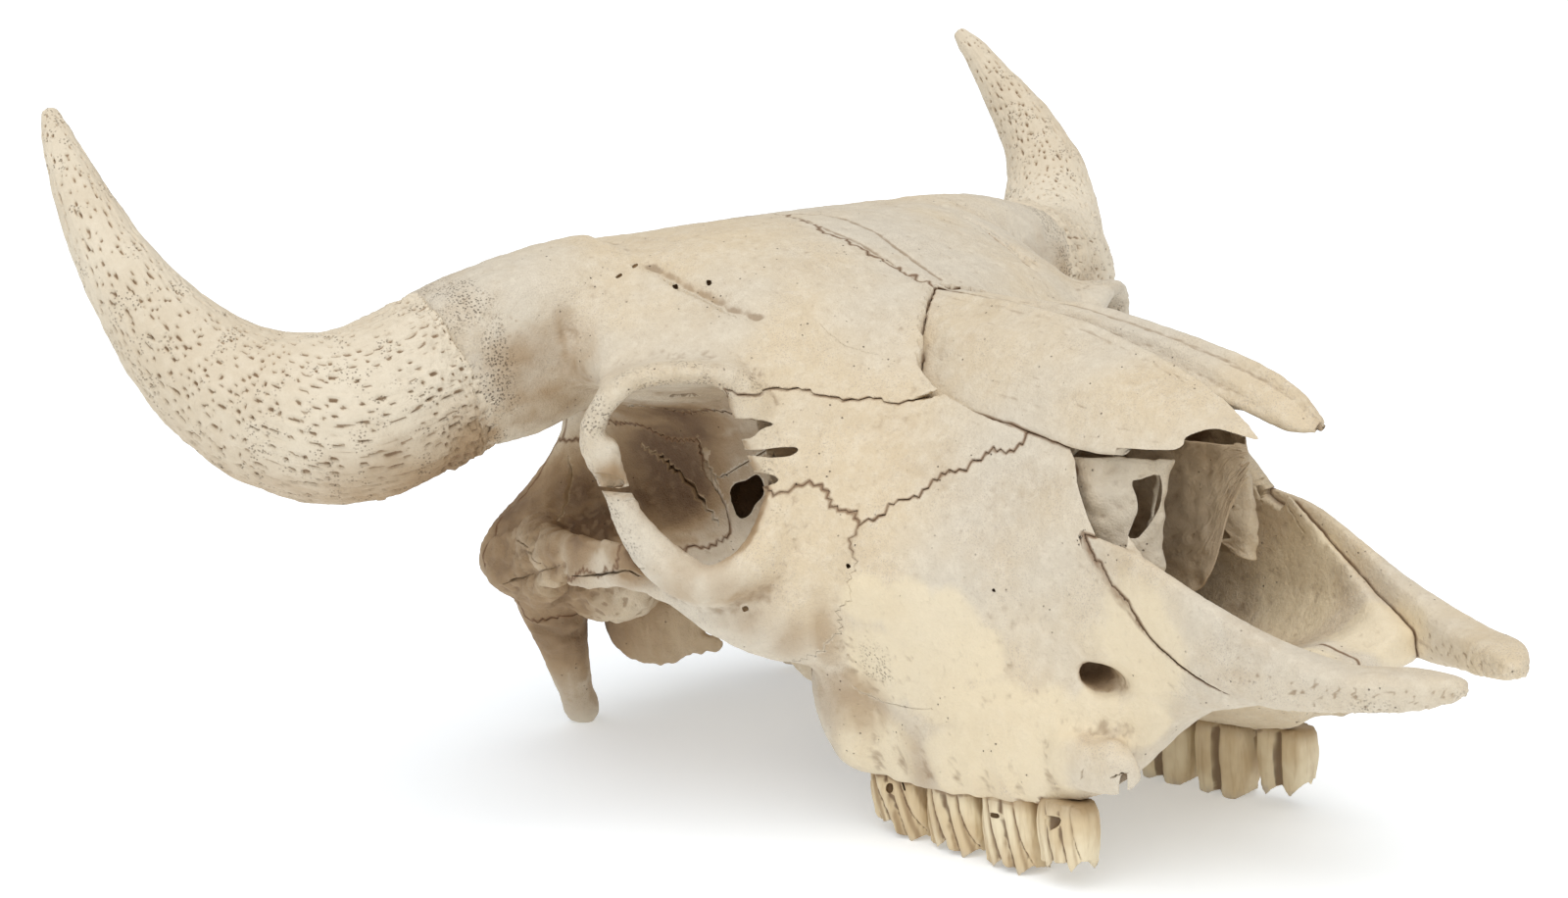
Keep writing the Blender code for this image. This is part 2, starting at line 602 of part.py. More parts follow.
def tooth_gutter():
    """The outline, from the side, of the room for the crowns under the edge of the jaw."""
    backs, fronts, roots = zip(*[tooth[1:4] for tooth in TEETH])
    ends = [backs[0] + TOOTH_ROOM]
    ends += [(front + back) / 2 for front, back in zip(fronts, backs[1:])]
    ends += [fronts[-1] - TOOTH_ROOM]
    below = FLOOR - GUTTER_DROP
    outline = [(ends[0], below)]
    for root, near, far in zip(roots, ends, ends[1:]):
        outline += [(near, root), (far, root)]
    return outline + [(ends[-1], below)]


def premaxilla(name, side, bones):
    def bar(bm):
        add_bar(bm, PREMAXILLA, side, spans=2, around=10)
    return solid(name, bones, [bar])


def bulla(name, side, bones):
    """The bladder of the middle ear, with its pointed muscular process in front."""
    def lump(bm):
        add_ball(bm, BULLA_BODY, side, BULLA_TURN)
        add_bar(bm, BULLA_POINT, side, squareness=2)
    obj = solid(name, bones, [lump])
    fuse(obj, BULLA_VOXEL, SOFTEN_HOLES)
    thin_out(obj, BULLA_FACES)
    return obj


def scroll(name, side, bones):
    """The lower turbinate: a thin plate that hangs from the wall and curls over."""
    def plate(bm):
        top = spline([t for t, _ in SCROLL], 2)
        low = spline([b for _, b in SCROLL], 2)
        rings = []
        for i, (high, base) in enumerate(zip(top, low)):
            along = top[min(i + 1, len(top) - 1)] - top[max(i - 1, 0)]
            out = Vector((along.y, -along.x, 0)).normalized() * SCROLL_HALF
            ring = [high + out, base + out, base - out, high - out]
            rings.append([Vector((p.x * side, p.y, p.z)) for p in ring])
        loft(bm, rings)
    return solid(name, bones, [plate])


def septum(name, bones):
    """The vomer with the plate of the ethmoid, upright on the middle line."""
    def plate(bm):
        rings = []
        for y, low, high in [tuple(p) for p in spline(SEPTUM, 2)]:
            knee = min(low + 3 * SEPTUM_FOOT, (low + high) / 2)
            half = [(SEPTUM_FOOT, low), (SEPTUM_HALF, knee), (SEPTUM_HALF, high)]
            rings.append([Vector((x, y, z)) for x, z in half + [(-x, z) for x, z in half[::-1]]])
        loft(bm, rings)
    return solid(name, bones, [plate])


def paint(obj, key):
    material = bpy.data.materials.get(key)
    if not material:
        colour, roughness = COLOURS[key]
        material = bpy.data.materials.new(key)
        material.use_nodes = True
        shader = material.node_tree.nodes["Principled BSDF"]
        shader.inputs["Base Color"].default_value = (*colour, 1)
        shader.inputs["Roughness"].default_value = roughness
        shader.inputs["Metallic"].default_value = 0.0
        material.diffuse_color = (*colour, 1)
    obj.data.materials.clear()
    obj.data.materials.append(material)


def keep_off_floor(obj, floor):
    twin = duplicate(floor, "floor_cut", floor.users_collection[0])
    combine(obj, twin, "DIFFERENCE")
    remove(twin)


def loose_bones(block, floor, bones, cutters):
    """The pieces that are made on their own, and the room for them in the block."""
    made = []
    for word, side in SIDES.items():
        made.append((horn_core("horn_core_" + word, HORN_CORES[word], side, bones), "horn_core"))
        made.append((premaxilla("premaxilla_" + word, side, bones), "bone"))
        made.append((bulla("bulla_" + word, side, bones), "inner_bone"))
        made.append((scroll("turbinate_" + word, side, bones), "inner_bone"))
        gutter = prism("gutter", tooth_gutter(), GUTTER_SPAN, side, cutters)
        combine(block, gutter, "DIFFERENCE")
        remove(gutter)
        for kind, back, front, root, *crown in TEETH:
            made_tooth = tooth(f"{kind}_{word}", back, front, root - SEAM, *crown, side, bones)
            keep_off_floor(made_tooth, floor)
            paint(made_tooth, "tooth")
        made.append((nasal("nasal_" + word, NASALS[word], side, bones), "bone"))
        clear_nasal(block, NASALS[word], side, cutters)
    made.append((septum("vomer", bones), "inner_bone"))
    for obj, key in made:
        around = swollen(obj, cutters)
        combine(block, around, "DIFFERENCE")
        remove(around)
        paint(obj, key)


def main():
    clear_scene()
    bones = collection("bison_skull")
    cutters = collection("cutters")
    block = head_block(cutters)
    thin_out(block, BLOCK_FACES)
    under = FLOOR - FLOOR_DEPTH
    slab = [(-FLOOR_REACH, under), (-FLOOR_REACH, FLOOR), (FLOOR_REACH, FLOOR), (FLOOR_REACH, under)]
    floor = prism("floor", slab, (-FLOOR_REACH, FLOOR_REACH), 1, cutters)
    keep_off_floor(block, floor)
    loose_bones(block, floor, bones, cutters)

    carved = []
    for word, side in SIDES.items():
        for kind, outline, near, far in PAIRED_BONES:
            carved.append(carve(block, f"{kind}_{word}", outline, (near, far), side, bones, cutters))
    carved.append(carve(block, "occipital", OCCIPITAL_OUTLINE, (-OUTSIDE, OUTSIDE), 1, bones, cutters))
    block.name = "braincase"
    cutters.objects.unlink(block)
    bones.objects.link(block)
    keep_largest(block)
    flatten(block, FLAT_ANGLE)
    for obj in carved + [block]:
        paint(obj, "bone")
    remove(floor)


main()
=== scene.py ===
# %% [markdown]
# The skull of an American bison bull, life size, without the lower jaw and the horn sheaths. It rests on
# its cheek teeth and on the two processes behind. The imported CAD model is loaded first, because it fixes
# where each bone is. Each of its nodes is then replaced by a finer piece of the same place and size, and
# the last cells add materials, floor and light.

# %% Load the frame
import math
import random

import bmesh
import bpy
import numpy as np
from mathutils import Matrix, Vector, noise
from mathutils.bvhtree import BVHTree
from mathutils.kdtree import KDTree


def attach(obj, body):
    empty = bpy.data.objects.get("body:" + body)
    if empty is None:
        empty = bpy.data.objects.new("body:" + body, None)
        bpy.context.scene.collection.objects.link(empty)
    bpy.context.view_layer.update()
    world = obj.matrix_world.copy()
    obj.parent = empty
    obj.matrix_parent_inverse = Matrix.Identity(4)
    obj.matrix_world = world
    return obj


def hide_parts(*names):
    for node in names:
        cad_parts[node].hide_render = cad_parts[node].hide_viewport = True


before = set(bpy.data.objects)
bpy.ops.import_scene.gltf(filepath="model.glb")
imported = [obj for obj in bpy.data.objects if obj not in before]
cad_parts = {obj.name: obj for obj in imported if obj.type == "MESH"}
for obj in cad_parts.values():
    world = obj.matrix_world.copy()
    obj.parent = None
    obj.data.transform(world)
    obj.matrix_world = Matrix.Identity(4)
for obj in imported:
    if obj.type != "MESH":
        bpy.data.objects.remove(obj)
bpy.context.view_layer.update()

print("nodes in the frame:", len(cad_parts))

# %% [markdown]
# Bones are easiest to think of in millimetres, with X to the animal's left, -Y to the nose and +Z up.
# The scene is in metres with its origin in the middle of the floor, so one small function turns the
# first into the second, and every piece goes through it when it is finished.

# %% Units and sides
MM = 0.001
ORIGIN = Vector((0, -15, 0))
SIDES = {"right": -1, "left": 1}
TO_SCENE = Matrix.Scale(MM, 4) @ Matrix.Translation(-ORIGIN)


def collection(name, shown=True):
    found = bpy.data.collections.new(name)
    bpy.context.scene.collection.children.link(found)
    found.hide_render = not shown
    return found


bones = collection("skull")
helpers = collection("helpers", shown=False)


def to_object(bm, name, place):
    """The bmesh, in scene units, as an object."""
    mesh = bpy.data.meshes.new(name)
    bm.to_mesh(mesh)
    bm.free()
    obj = bpy.data.objects.new(name, mesh)
    place.objects.link(obj)
    return obj


def finish_mesh(bm, name, place):
    """The bmesh, in millimetres of the skull, as an object in the scene."""
    bmesh.ops.recalc_face_normals(bm, faces=bm.faces)
    bm.transform(TO_SCENE)
    return to_object(bm, name, place)


def in_mm(co):
    """Scene points as millimetres of the skull."""
    return co / MM + np.array(ORIGIN)


print("origin of the skull's own millimetres:", tuple(-ORIGIN * MM))

# %% [markdown]
# A bone is a smooth lump between measured cross-sections. A few measured points make a smooth curve by
# a Catmull-Rom spline, and a skin is drawn over such curves by extruding a capped circle from section
# to section and moving its corners onto each one. This keeps every skin closed without any listing of
# faces.

# %% Curves and skins
def spline(points, spans, closed=False):
    """Points of a smooth curve through the given points."""
    points = [Vector(p) for p in points]
    count = len(points)
    curve = []
    for i in range(count if closed else count - 1):
        if closed:
            a, b, c, d = (points[(i + k) % count] for k in (-1, 0, 1, 2))
        else:
            b, c = points[i], points[i + 1]
            a = points[i - 1] if i else b * 2 - c
            d = points[i + 2] if i + 2 < count else c * 2 - b
        for step in range(spans):
            t = step / spans
            curve.append(0.5 * (2 * b + (c - a) * t + (2 * a - 5 * b + 4 * c - d) * t * t
                                + (3 * b - a - 3 * c + d) * t * t * t))
    if not closed:
        curve.append(points[-1])
    return curve


def skin(bm, rings):
    """A closed skin: a capped circle extruded from ring to ring."""
    made = bmesh.ops.create_circle(bm, cap_ends=True, segments=len(rings[0]), radius=1)
    end = made["verts"][0].link_faces[0]
    start = list(end.verts)
    for v, p in zip(start, rings[0]):
        v.co = p
    for ring in rings[1:]:
        end = bmesh.ops.extrude_discrete_faces(bm, faces=[end])["faces"][0]
        for v, p in zip(end.verts, ring):
            v.co = p
    bm.faces.new(start[::-1])


def bar(bm, stations, side=1, spans=4, around=16, squareness=2.4, up=(0, 0, 1)):
    """A rounded bar along a smooth path of (centre, half thickness across, half height)."""
    centres = spline([c for c, _, _ in stations], spans)
    sizes = spline([(a, b, 0) for _, a, b in stations], spans)
    rings = []
    for i, (centre, size) in enumerate(zip(centres, sizes)):
        ahead = (centres[min(i + 1, len(centres) - 1)] - centres[max(i - 1, 0)]).normalized()
        across = ahead.cross(Vector(up)).normalized()
        over = across.cross(ahead)
        ring = []
        for k in range(around):
            c, s = math.cos(2 * math.pi * k / around), math.sin(2 * math.pi * k / around)
            a = math.copysign(abs(c) ** (2 / squareness), c) * size.x
            b = math.copysign(abs(s) ** (2 / squareness), s) * size.y
            p = centre + across * a + over * b
            ring.append(Vector((p.x * side, p.y, p.z)))
        rings.append(ring)
    skin(bm, rings)


def ball(bm, lump, side=1, turn=0):
    """An ellipsoid given as (centre, radii), turned about the upright axis by degrees."""
    centre, radii = lump
    place = Matrix.Translation((centre[0] * side, centre[1], centre[2]))
    spin = Matrix.Rotation(math.radians(turn) * side, 4, "Z")
    bmesh.ops.create_uvsphere(bm, u_segments=24, v_segments=12, radius=1,
                              matrix=place @ spin @ Matrix.Diagonal((*radii, 1)))


trial = spline([(0, 0, 0), (1, 0, 0), (2, 1, 0), (3, 1, 0)], 5)
print("a spline of four points with 5 spans has", len(trial), "points")

# %% [markdown]
# Lumps that belong to one bone are fused: the Remesh modifier in voxel mode draws one skin round all of
# them, and Smooth softens the steps that the voxels leave. Holes are cut by the Boolean modifier. Each
# modifier is applied at once, so that the next step works on plain mesh.

# %% Fusing and cutting
def settle(obj):
    """Replaces the object's mesh by what its modifiers make of it."""
    graph = bpy.context.evaluated_depsgraph_get()
    mesh = bpy.data.meshes.new_from_object(obj.evaluated_get(graph))
    obj.modifiers.clear()
    old = obj.data
    obj.data = mesh
    bpy.data.meshes.remove(old)
    return obj


def fuse(obj, voxel, rounds):
    remesh = obj.modifiers.new("Fuse", "REMESH")
    remesh.mode = "VOXEL"
    remesh.voxel_size = voxel * MM
    soften(obj, rounds)
    return settle(obj)


def soften(obj, rounds, factor=0.5):
    smooth = obj.modifiers.new("Soften", "SMOOTH")
    smooth.factor = factor
    smooth.iterations = rounds


def refine(obj, levels):
    """Catmull-Clark subdivision, applied."""
    subdivide = obj.modifiers.new("Refine", "SUBSURF")
    subdivide.levels = subdivide.render_levels = levels
    return settle(obj)


def combine(obj, other, operation="DIFFERENCE"):
    boolean = obj.modifiers.new("Combine", "BOOLEAN")
    boolean.operation = operation
    boolean.solver = "MANIFOLD"
    boolean.object = other
    return settle(obj)


def remove(obj):
    mesh = obj.data
    bpy.data.objects.remove(obj)
    bpy.data.meshes.remove(mesh)


def cut(obj, cutter):
    """Takes the cutter's shape from the object, and removes the cutter."""
    combine(obj, cutter)
    remove(cutter)


def duplicate(obj, name, place):
    twin = bpy.data.objects.new(name, obj.data.copy())
    place.objects.link(twin)
    return twin


def swell(bm, distance):
    bm.normal_update()
    moves = [(v, v.normal * distance * v.calc_shell_factor()) for v in bm.verts]
    for v, move in moves:
        v.co += move


def face_outward(bm):
    """Turns the faces outward and splits them into triangles."""
    bmesh.ops.recalc_face_normals(bm, faces=bm.faces)
    bmesh.ops.triangulate(bm, faces=bm.faces)


def swollen(obj, distance):
    """A copy of the object, larger all round."""
    bm = bmesh.new()
    bm.from_mesh(obj.data)
    bmesh.ops.triangulate(bm, faces=bm.faces)
    swell(bm, distance * MM)
    return to_object(bm, obj.name + "_swollen", helpers)


def body(name, *adders, place=None):
    bm = bmesh.new()
    for add in adders:
        add(bm)
    return finish_mesh(bm, name, place or helpers)


def triangles(obj):
    return sum(len(p.vertices) - 2 for p in obj.data.polygons)


print("helpers are kept in", helpers.name)

# %% [markdown]
# The camera stands where the photograph was taken from: half a metre up and a metre and a quarter from
# the nose, with a short telephoto lens. It comes early because the cracks, holes and sutures are placed
# by looking along a ray of the photograph, 1600 by 916 pixels, to the first bone that the ray meets.

# %% Camera
FRAME_WIDTH, FRAME_HEIGHT, FOCAL = 1600, 916, 3182
STANDS = Vector((-0.926, -0.960, 0.434))
AZIMUTH, ELEVATION, ROLL = (math.radians(a) for a in (-40.6, 11.8, -2.6))
ahead = Vector((-math.sin(AZIMUTH) * math.cos(ELEVATION), math.cos(AZIMUTH) * math.cos(ELEVATION),
                -math.sin(ELEVATION)))
level = ahead.cross(Vector((0, 0, 1))).normalized()
raised = level.cross(ahead)
to_right = level * math.cos(ROLL) + raised * math.sin(ROLL)
to_top = raised * math.cos(ROLL) - level * math.sin(ROLL)
camera = bpy.data.objects.new("camera", bpy.data.cameras.new("camera"))
bpy.context.scene.collection.objects.link(camera)
camera.matrix_world = Matrix.Translation(STANDS) @ Matrix((to_right, to_top, -ahead)).transposed().to_4x4()
camera.data.sensor_width = 36
camera.data.lens = FOCAL * camera.data.sensor_width / FRAME_WIDTH
bpy.context.scene.camera = camera


def sight(px, py):
    """The direction from the camera through a pixel of the photograph."""
    return (ahead + to_right * ((px - FRAME_WIDTH / 2) / FOCAL)
            - to_top * ((py - FRAME_HEIGHT / 2) / FOCAL)).normalized()


print("lens", round(camera.data.lens, 1), "mm")

# %% [markdown]
# The braincase and the face are one mass of bone in life, crossed by sutures. Their shape is given by
# seventeen cross-sections from the back of the head to the toothless front of the jaw. Each is half an
# outline, from the top over the brow and the cheek to the palate; the other half is its mirror image,
# with a roof that lies a little lower on the animal's left, as on the real one.

# %% Cross-sections of the head
HEAD_SECTIONS = [
    (203, [(0, 186), (26, 187), (44, 182), (56, 174), (58, 164), (54, 152), (54, 138), (74, 119),
           (94, 101), (90, 85), (48, 68), (0, 66)]),
    (194, [(0, 203), (30, 205), (55, 201), (70, 190), (70, 178), (64, 160), (62, 142), (88, 120),
           (113, 100), (108, 78), (58, 62), (0, 58)]),
    (178, [(0, 229), (45, 230), (84, 229), (108, 222), (110, 205), (88, 183), (68, 160), (78, 132),
           (114, 102), (107, 76), (56, 64), (0, 60)]),
    (150, [(0, 239), (50, 240), (98, 240), (134, 232), (140, 202), (106, 178), (67, 158), (68, 130),
           (102, 104), (98, 78), (48, 68), (0, 64)]),
    (115, [(0, 246), (50, 246), (98, 244), (134, 234), (142, 198), (106, 178), (64, 160), (60, 130),
           (76, 108), (68, 86), (34, 73), (0, 69)]),
    (80, [(0, 248), (50, 247), (94, 241), (128, 226), (139, 196), (106, 182), (62, 166), (55, 136),
          (58, 112), (50, 93), (28, 79), (0, 75)]),
    (45, [(0, 242), (48, 240), (92, 229), (128, 211), (143, 196), (104, 188), (58, 174), (46, 142),
          (43, 114), (38, 94), (24, 81), (0, 77)]),
    (12, [(0, 229), (42, 227), (80, 217), (108, 203), (102, 190), (72, 181), (47, 166), (40, 136),
          (38, 108), (38, 88), (24, 77), (0, 75)]),
    (-14, [(0, 221), (32, 214), (66, 197), (94, 174), (108, 144), (112, 120), (105, 98), (90, 72),
           (80, 48), (74, 30), (46, 42), (0, 60)]),
    (-38, [(0, 219), (28, 206), (48, 187), (78, 160), (95, 136), (100, 115), (96, 94), (88, 70),
           (82, 47), (76, 25), (50, 34), (0, 54)]),
    (-66, [(0, 213), (28, 199), (47, 182), (67, 156), (82, 132), (89, 110), (89, 88), (87, 66),
           (84, 45), (77, 26), (50, 34), (0, 54)]),
    (-100, [(0, 204), (28, 192), (45, 176), (57, 152), (69, 128), (75, 106), (79, 84), (83, 64),
            (82, 46), (75, 28), (48, 36), (0, 56)]),
    (-132, [(0, 190), (28, 182), (45, 168), (55, 148), (61, 124), (64, 104), (68, 84), (74, 64),
            (75, 46), (69, 32), (42, 42), (0, 60)]),
    (-160, [(0, 150), (28, 148), (46, 142), (55, 134), (58, 120), (59, 104), (59, 88), (61, 70),
            (62, 54), (56, 44), (36, 54), (0, 68)]),
    (-176, [(0, 135), (28, 134), (44, 131), (53, 124), (56, 113), (56, 102), (55, 92), (54, 82),
            (52, 74), (44, 70), (26, 70), (0, 72)]),
    (-205, [(0, 115), (24, 115), (38, 113), (47, 109), (51, 103), (52, 98), (51, 92), (49, 87),
            (45, 82), (34, 80), (18, 80), (0, 82)]),
    (-232, [(0, 102), (18, 102), (30, 101), (38, 99), (42, 97), (43, 94), (42, 91), (40, 89),
            (36, 87), (26, 86), (14, 86), (0, 87)]),
]

# The left half of the roof lies a little lower than the right
ROOF = 190.0
LEFT_SINK = 0.03


def section_ring(y, half, spans=3):
    left = [(x, z - LEFT_SINK * x if z > ROOF else z) for x, z in half]
    outline = left + [(-x, z) for x, z in half[-2:0:-1]]
    return [Vector((p.x, y, p.y)) for p in spline([(x, z, 0) for x, z in outline], spans, closed=True)]


def head_sections(bm):
    controls = [section_ring(y, half) for y, half in HEAD_SECTIONS]
    columns = [spline(column, 4) for column in zip(*controls)]
    skin(bm, list(zip(*columns)))


print(len(HEAD_SECTIONS), "sections from Y", HEAD_SECTIONS[0][0], "to", HEAD_SECTIONS[-1][0])

# %% [markdown]
# What stands off the mass of the head is added as bars along paths: the pedicle that carries the horn
# core, the cheek bone, the arch that comes forward from the ear, the paracondylar process that the
# skull stands on, the pterygoid plates beside the inner nostrils, the wall of the two empty tooth
# sockets, and the thick rim of the eye socket, a bar that closes on itself, with the brow that fills the
# dip between it and the forehead. Condyle, ear base and neck knob are plain balls before they are fused.

# %% Bars and lumps of the head
PEDICLE = [((92, 112, 214), 36, 34), ((128, 116, 206), 37, 38), ((154, 121, 199), 37, 39),
           ((174, 126, 193), 37, 39)]
PEDICLE_LIFT = {"right": 3.0, "left": -3.0}
MALAR = [((96, -26, 106), 12, 30), ((112, -10, 103), 11, 24), ((126, 4, 104), 9, 14),
         ((137, 24, 110), 6.5, 7.5), ((140, 50, 111), 4.5, 5), ((138, 78, 105.5), 4.5, 4.5),
         ((134, 97, 101.5), 3.5, 4)]
TEMPORAL_ARCH = [((96, 172, 92), 14, 24), ((108, 150, 98), 11, 19), ((122, 122, 107), 7, 13),
                 ((132, 90, 114.5), 5, 9.5), ((139, 60, 120), 4, 7.5), ((142, 42, 124), 3, 5.5)]
PARACONDYLAR = {
    "right": [((84, 180, 84), 20, 16), ((79, 185, 60), 16, 12), ((70, 190, 36), 11, 10.5),
              ((62, 195, 16), 8.5, 9), ((58, 197, 9), 9.5, 9.5), ((57.5, 197, 3), 8.5, 8.5),
              ((57.5, 197, -1), 5.5, 5.5)],
    "left": [((84, 180, 84), 20, 16), ((82, 183, 60), 15, 12), ((77, 185, 36), 11, 10.5),
             ((73, 187, 16), 8.5, 9), ((71, 188, 9), 9, 9), ((71, 188, 3), 8, 8), ((71, 188, -1), 5.5, 5.5)],
}
PTERYGOID = [((30, 100, 82), 6, 10), ((31, 78, 74), 5, 20), ((31, 52, 64), 5, 26), ((30, 24, 56), 5, 22),
             ((31, 2, 52), 6, 16), ((32, -14, 50), 8, 12)]
BASE = [((0, 208, 66), 24, 10), ((0, 180, 68), 26, 10), ((0, 140, 72), 22, 10), ((0, 90, 78), 18, 10),
        ((0, 30, 84), 14, 12)]
EMPTY_SOCKETS = [((71, -138, 56), 7, 12), ((71, -156, 54), 7, 12), ((70, -166, 56), 7, 12),
                 ((68, -174, 61), 5.5, 11)]
CONDYLE = ((34, 208, 76), (23, 19, 21))
TUBER = ((80, -26, 68), (14, 22, 40))
EAR_BASE = ((77, 143, 86), (22, 30, 23))
NUCHAL_KNOB = ((0, 200, 176), (22, 12, 17))
ORBIT_RIM = [((108, 2, 195), 5, 8), ((131, 16, 203.5), 4.5, 9), ((151.5, 26.5, 200.5), 4.5, 8),
             ((164, 36.5, 181), 6, 7), ((157.5, 34, 157), 4.6, 6), ((150, 22, 130), 7.5, 8),
             ((140, 1, 115.5), 9, 9), ((122, -13, 123), 10, 9), ((106, -12, 144), 8, 8),
             ((101, 0, 171), 6, 7)]
BROW = [((108, 6, 201.5), 9, 5), ((119.5, 16, 202), 13, 5), ((131, 25, 202.5), 14, 5),
        ((142, 34.5, 200.5), 14, 5), ((153, 42, 194), 12, 6)]
LEFT_ORBIT_SHIFT = (-6.5, 3, -2)


def moved(stations, offset):
    return [(Vector(centre) + Vector(offset), wide, high) for centre, wide, high in stations]


def orbit_shift(side):
    return LEFT_ORBIT_SHIFT if side > 0 else (0, 0, 0)


def rim(bm, stations, side, spans=4, around=12):
    """A bar that closes on itself, widest away from the middle of its ring."""
    middle = sum((Vector(c) for c, _, _ in stations), Vector()) / len(stations)
    centres = spline([c for c, _, _ in stations], spans, closed=True)
    sizes = spline([(a, b, 0) for _, a, b in stations], spans, closed=True)
    count = len(centres)
    rings = []
    for i in range(count + 2):
        centre, size = centres[i % count], sizes[i % count]
        along = (centres[(i + 1) % count] - centres[i % count - 1]).normalized()
        out = centre - middle
        out = (out - along * out.dot(along)).normalized()
        deep = along.cross(out)
        ring = []
        for k in range(around):
            turn = 2 * math.pi * k / around
            p = centre + out * size.x * math.cos(turn) + deep * size.y * math.sin(turn)
            ring.append(Vector((p.x * side, p.y, p.z)))
        rings.append(ring)
    skin(bm, rings)


# The edge of the tear bone reaches back over the socket, and the strut behind the socket is broad
TEAR_EDGE = [((112, 4, 195), 4.5, 5), ((109.5, 2, 184), 5, 5), ((106.5, 1, 172.5), 5, 5),
             ((104.5, -3.5, 161), 5, 5), ((102, -8, 151), 4.5, 5)]
STRUT = [((161, 31, 177), 5.5, 5.5), ((157.5, 31, 160), 5.6, 5.6), ((153.5, 26.5, 145), 5.6, 5.6),
         ((147, 16, 131), 5.8, 5.8), ((138, 5, 121), 5.5, 5.5)]


def head_bars(bm):
    for word, side in SIDES.items():
        bar(bm, moved(PEDICLE, (0, 0, PEDICLE_LIFT[word])), side)
        for path in (MALAR, TEMPORAL_ARCH, PARACONDYLAR[word], PTERYGOID, EMPTY_SOCKETS):
            bar(bm, path, side)
        rim(bm, moved(ORBIT_RIM, orbit_shift(side)), side)
        bar(bm, moved(BROW, orbit_shift(side)), side)
        for lump in (CONDYLE, TUBER, EAR_BASE):
            ball(bm, lump, side)
    bar(bm, BASE)
    ball(bm, NUCHAL_KNOB)


print("the rim of the socket has", len(ORBIT_RIM), "measured places")

# %% [markdown]
# The hollows are solid shapes that are taken away: the eye sockets, the nose, the inner nostrils, the
# canal of the face's nerve and the great hole for the spinal cord. The mass is fused at 3 mm, the
# hollows are cut, and it is fused again, which rounds the edges of the holes as bone rounds them.

# %% The mass of the head
SOCKET = [((150, -16, 168), 37, 33), ((134, 12, 163), 36, 32.5), ((116, 30, 158), 35, 33),
          ((92, 42, 155), 32, 29), ((66, 48, 152), 24, 22)]
NASAL_CAVITY = [((0, -330, 120), 40, 18), ((0, -240, 114), 30, 18), ((0, -215, 120), 36, 22),
                ((0, -180, 124), 45, 40), ((0, -150, 128), 50, 48), ((0, -125, 130), 49, 54),
                ((0, -95, 130), 47, 58), ((0, -60, 132), 44, 54), ((0, -30, 128), 34, 38)]
CHOANA = [((0, -40, 100), 20, 16), ((0, -10, 80), 24, 24), ((0, 30, 58), 25, 38), ((0, 80, 50), 24, 30),
          ((0, 110, 40), 20, 22)]
INFRAORBITAL = [((70, -174, 83), 9, 6.5), ((62, -158, 85), 9, 6.5), ((50, -132, 90), 8, 6)]
MAGNUM = [((0, 240, 92), 19, 17), ((0, 205, 95), 18, 17), ((0, 175, 104), 18, 17), ((0, 130, 116), 26, 24)]
HEAD_VOXEL = 3.0


def hollows(bm):
    for side in SIDES.values():
        bar(bm, moved(SOCKET, orbit_shift(side)), side, squareness=2)
        bar(bm, INFRAORBITAL, side, squareness=2)
    bar(bm, NASAL_CAVITY, squareness=2.6)
    bar(bm, CHOANA, squareness=3)
    bar(bm, MAGNUM, squareness=2)


head = fuse(body("head", head_sections, head_bars), HEAD_VOXEL, 4)
holes = fuse(body("holes", hollows), HEAD_VOXEL, 2)
cut(head, holes)
for side in SIDES.values():
    for path in (TEAR_EDGE, STRUT):
        edge = body("edge", lambda bm: bar(bm, moved(path, orbit_shift(side)), side, up=(0, 1, 0)))
        combine(head, edge, "UNION")
        remove(edge)
fuse(head, HEAD_VOXEL, 2)
print("head of", len(head.data.polygons), "faces")

# %% [markdown]
# Old bone is darker where it is sheltered. This is partly the dust and tannin that stay in the sockets, in
# the nose and under the skull, and partly painted shade, the darkening that falls in hollows and under the
# skull. How sheltered a point is gets measured once, on the coarse mesh, by counting how many of a dozen rays
# from each point meet bone again within a few centimetres. The share is kept as an attribute of the mesh,
# which subdivision and cutting carry along, and the bone material reads it to paint both.

# %% How sheltered each point is
SHELTER_REACH = 70
RAYS = 12


def points_of(obj, what="co"):
    values = np.empty(len(obj.data.vertices) * 3, np.float32)
    obj.data.vertices.foreach_get(what, values)
    values = values.reshape(-1, 3).astype(float)
    return in_mm(values) if what == "co" else values


def place_points(obj, points):
    obj.data.vertices.foreach_set("co", ((points - np.array(ORIGIN)) * MM).ravel())
    obj.data.update()


def store(obj, name, values):
    found = obj.data.attributes.get(name) or obj.data.attributes.new(name, "FLOAT", "POINT")
    found.data.foreach_set("value", np.clip(values, 0, 1).astype(np.float32))


def tree_of(obj):
    points = points_of(obj)
    return BVHTree.FromPolygons([Vector(p) for p in points], [p.vertices[:] for p in obj.data.polygons])


def sheltered(obj, tree):
    """The share of rays from each point that meet bone within reach."""
    rays = []
    for k in range(RAYS):
        up = (k + 0.5) / RAYS
        turn = k * math.pi * (3 - math.sqrt(5))
        out = math.sqrt(1 - up * up)
        rays.append((out * math.cos(turn), out * math.sin(turn), up))
    shares = []
    for p, n in zip(points_of(obj), points_of(obj, "normal")):
        normal = Vector(n)
        turn = Vector((0, 0, 1)).rotation_difference(normal)
        start = Vector(p) + normal
        hits = sum(tree.ray_cast(start, turn @ Vector(ray), SHELTER_REACH)[0] is not None for ray in rays)
        shares.append(hits / RAYS)
    return np.array(shares)


head_tree = tree_of(head)
shelter = sheltered(head, head_tree)
store(head, "shelter", shelter)
print("mean shelter", round(float(shelter.mean()), 2))

# %% [markdown]
# One level of Catmull-Clark subdivision gives points every millimetre and a half, fine enough for the
# relief of bone. The relief itself is a sculptor's work done by rule: points move along their normals,
# by soft noise everywhere, by coarse noise where muscles and horn pulled on the bone, and along grooves
# and ridges that are placed on the photograph.

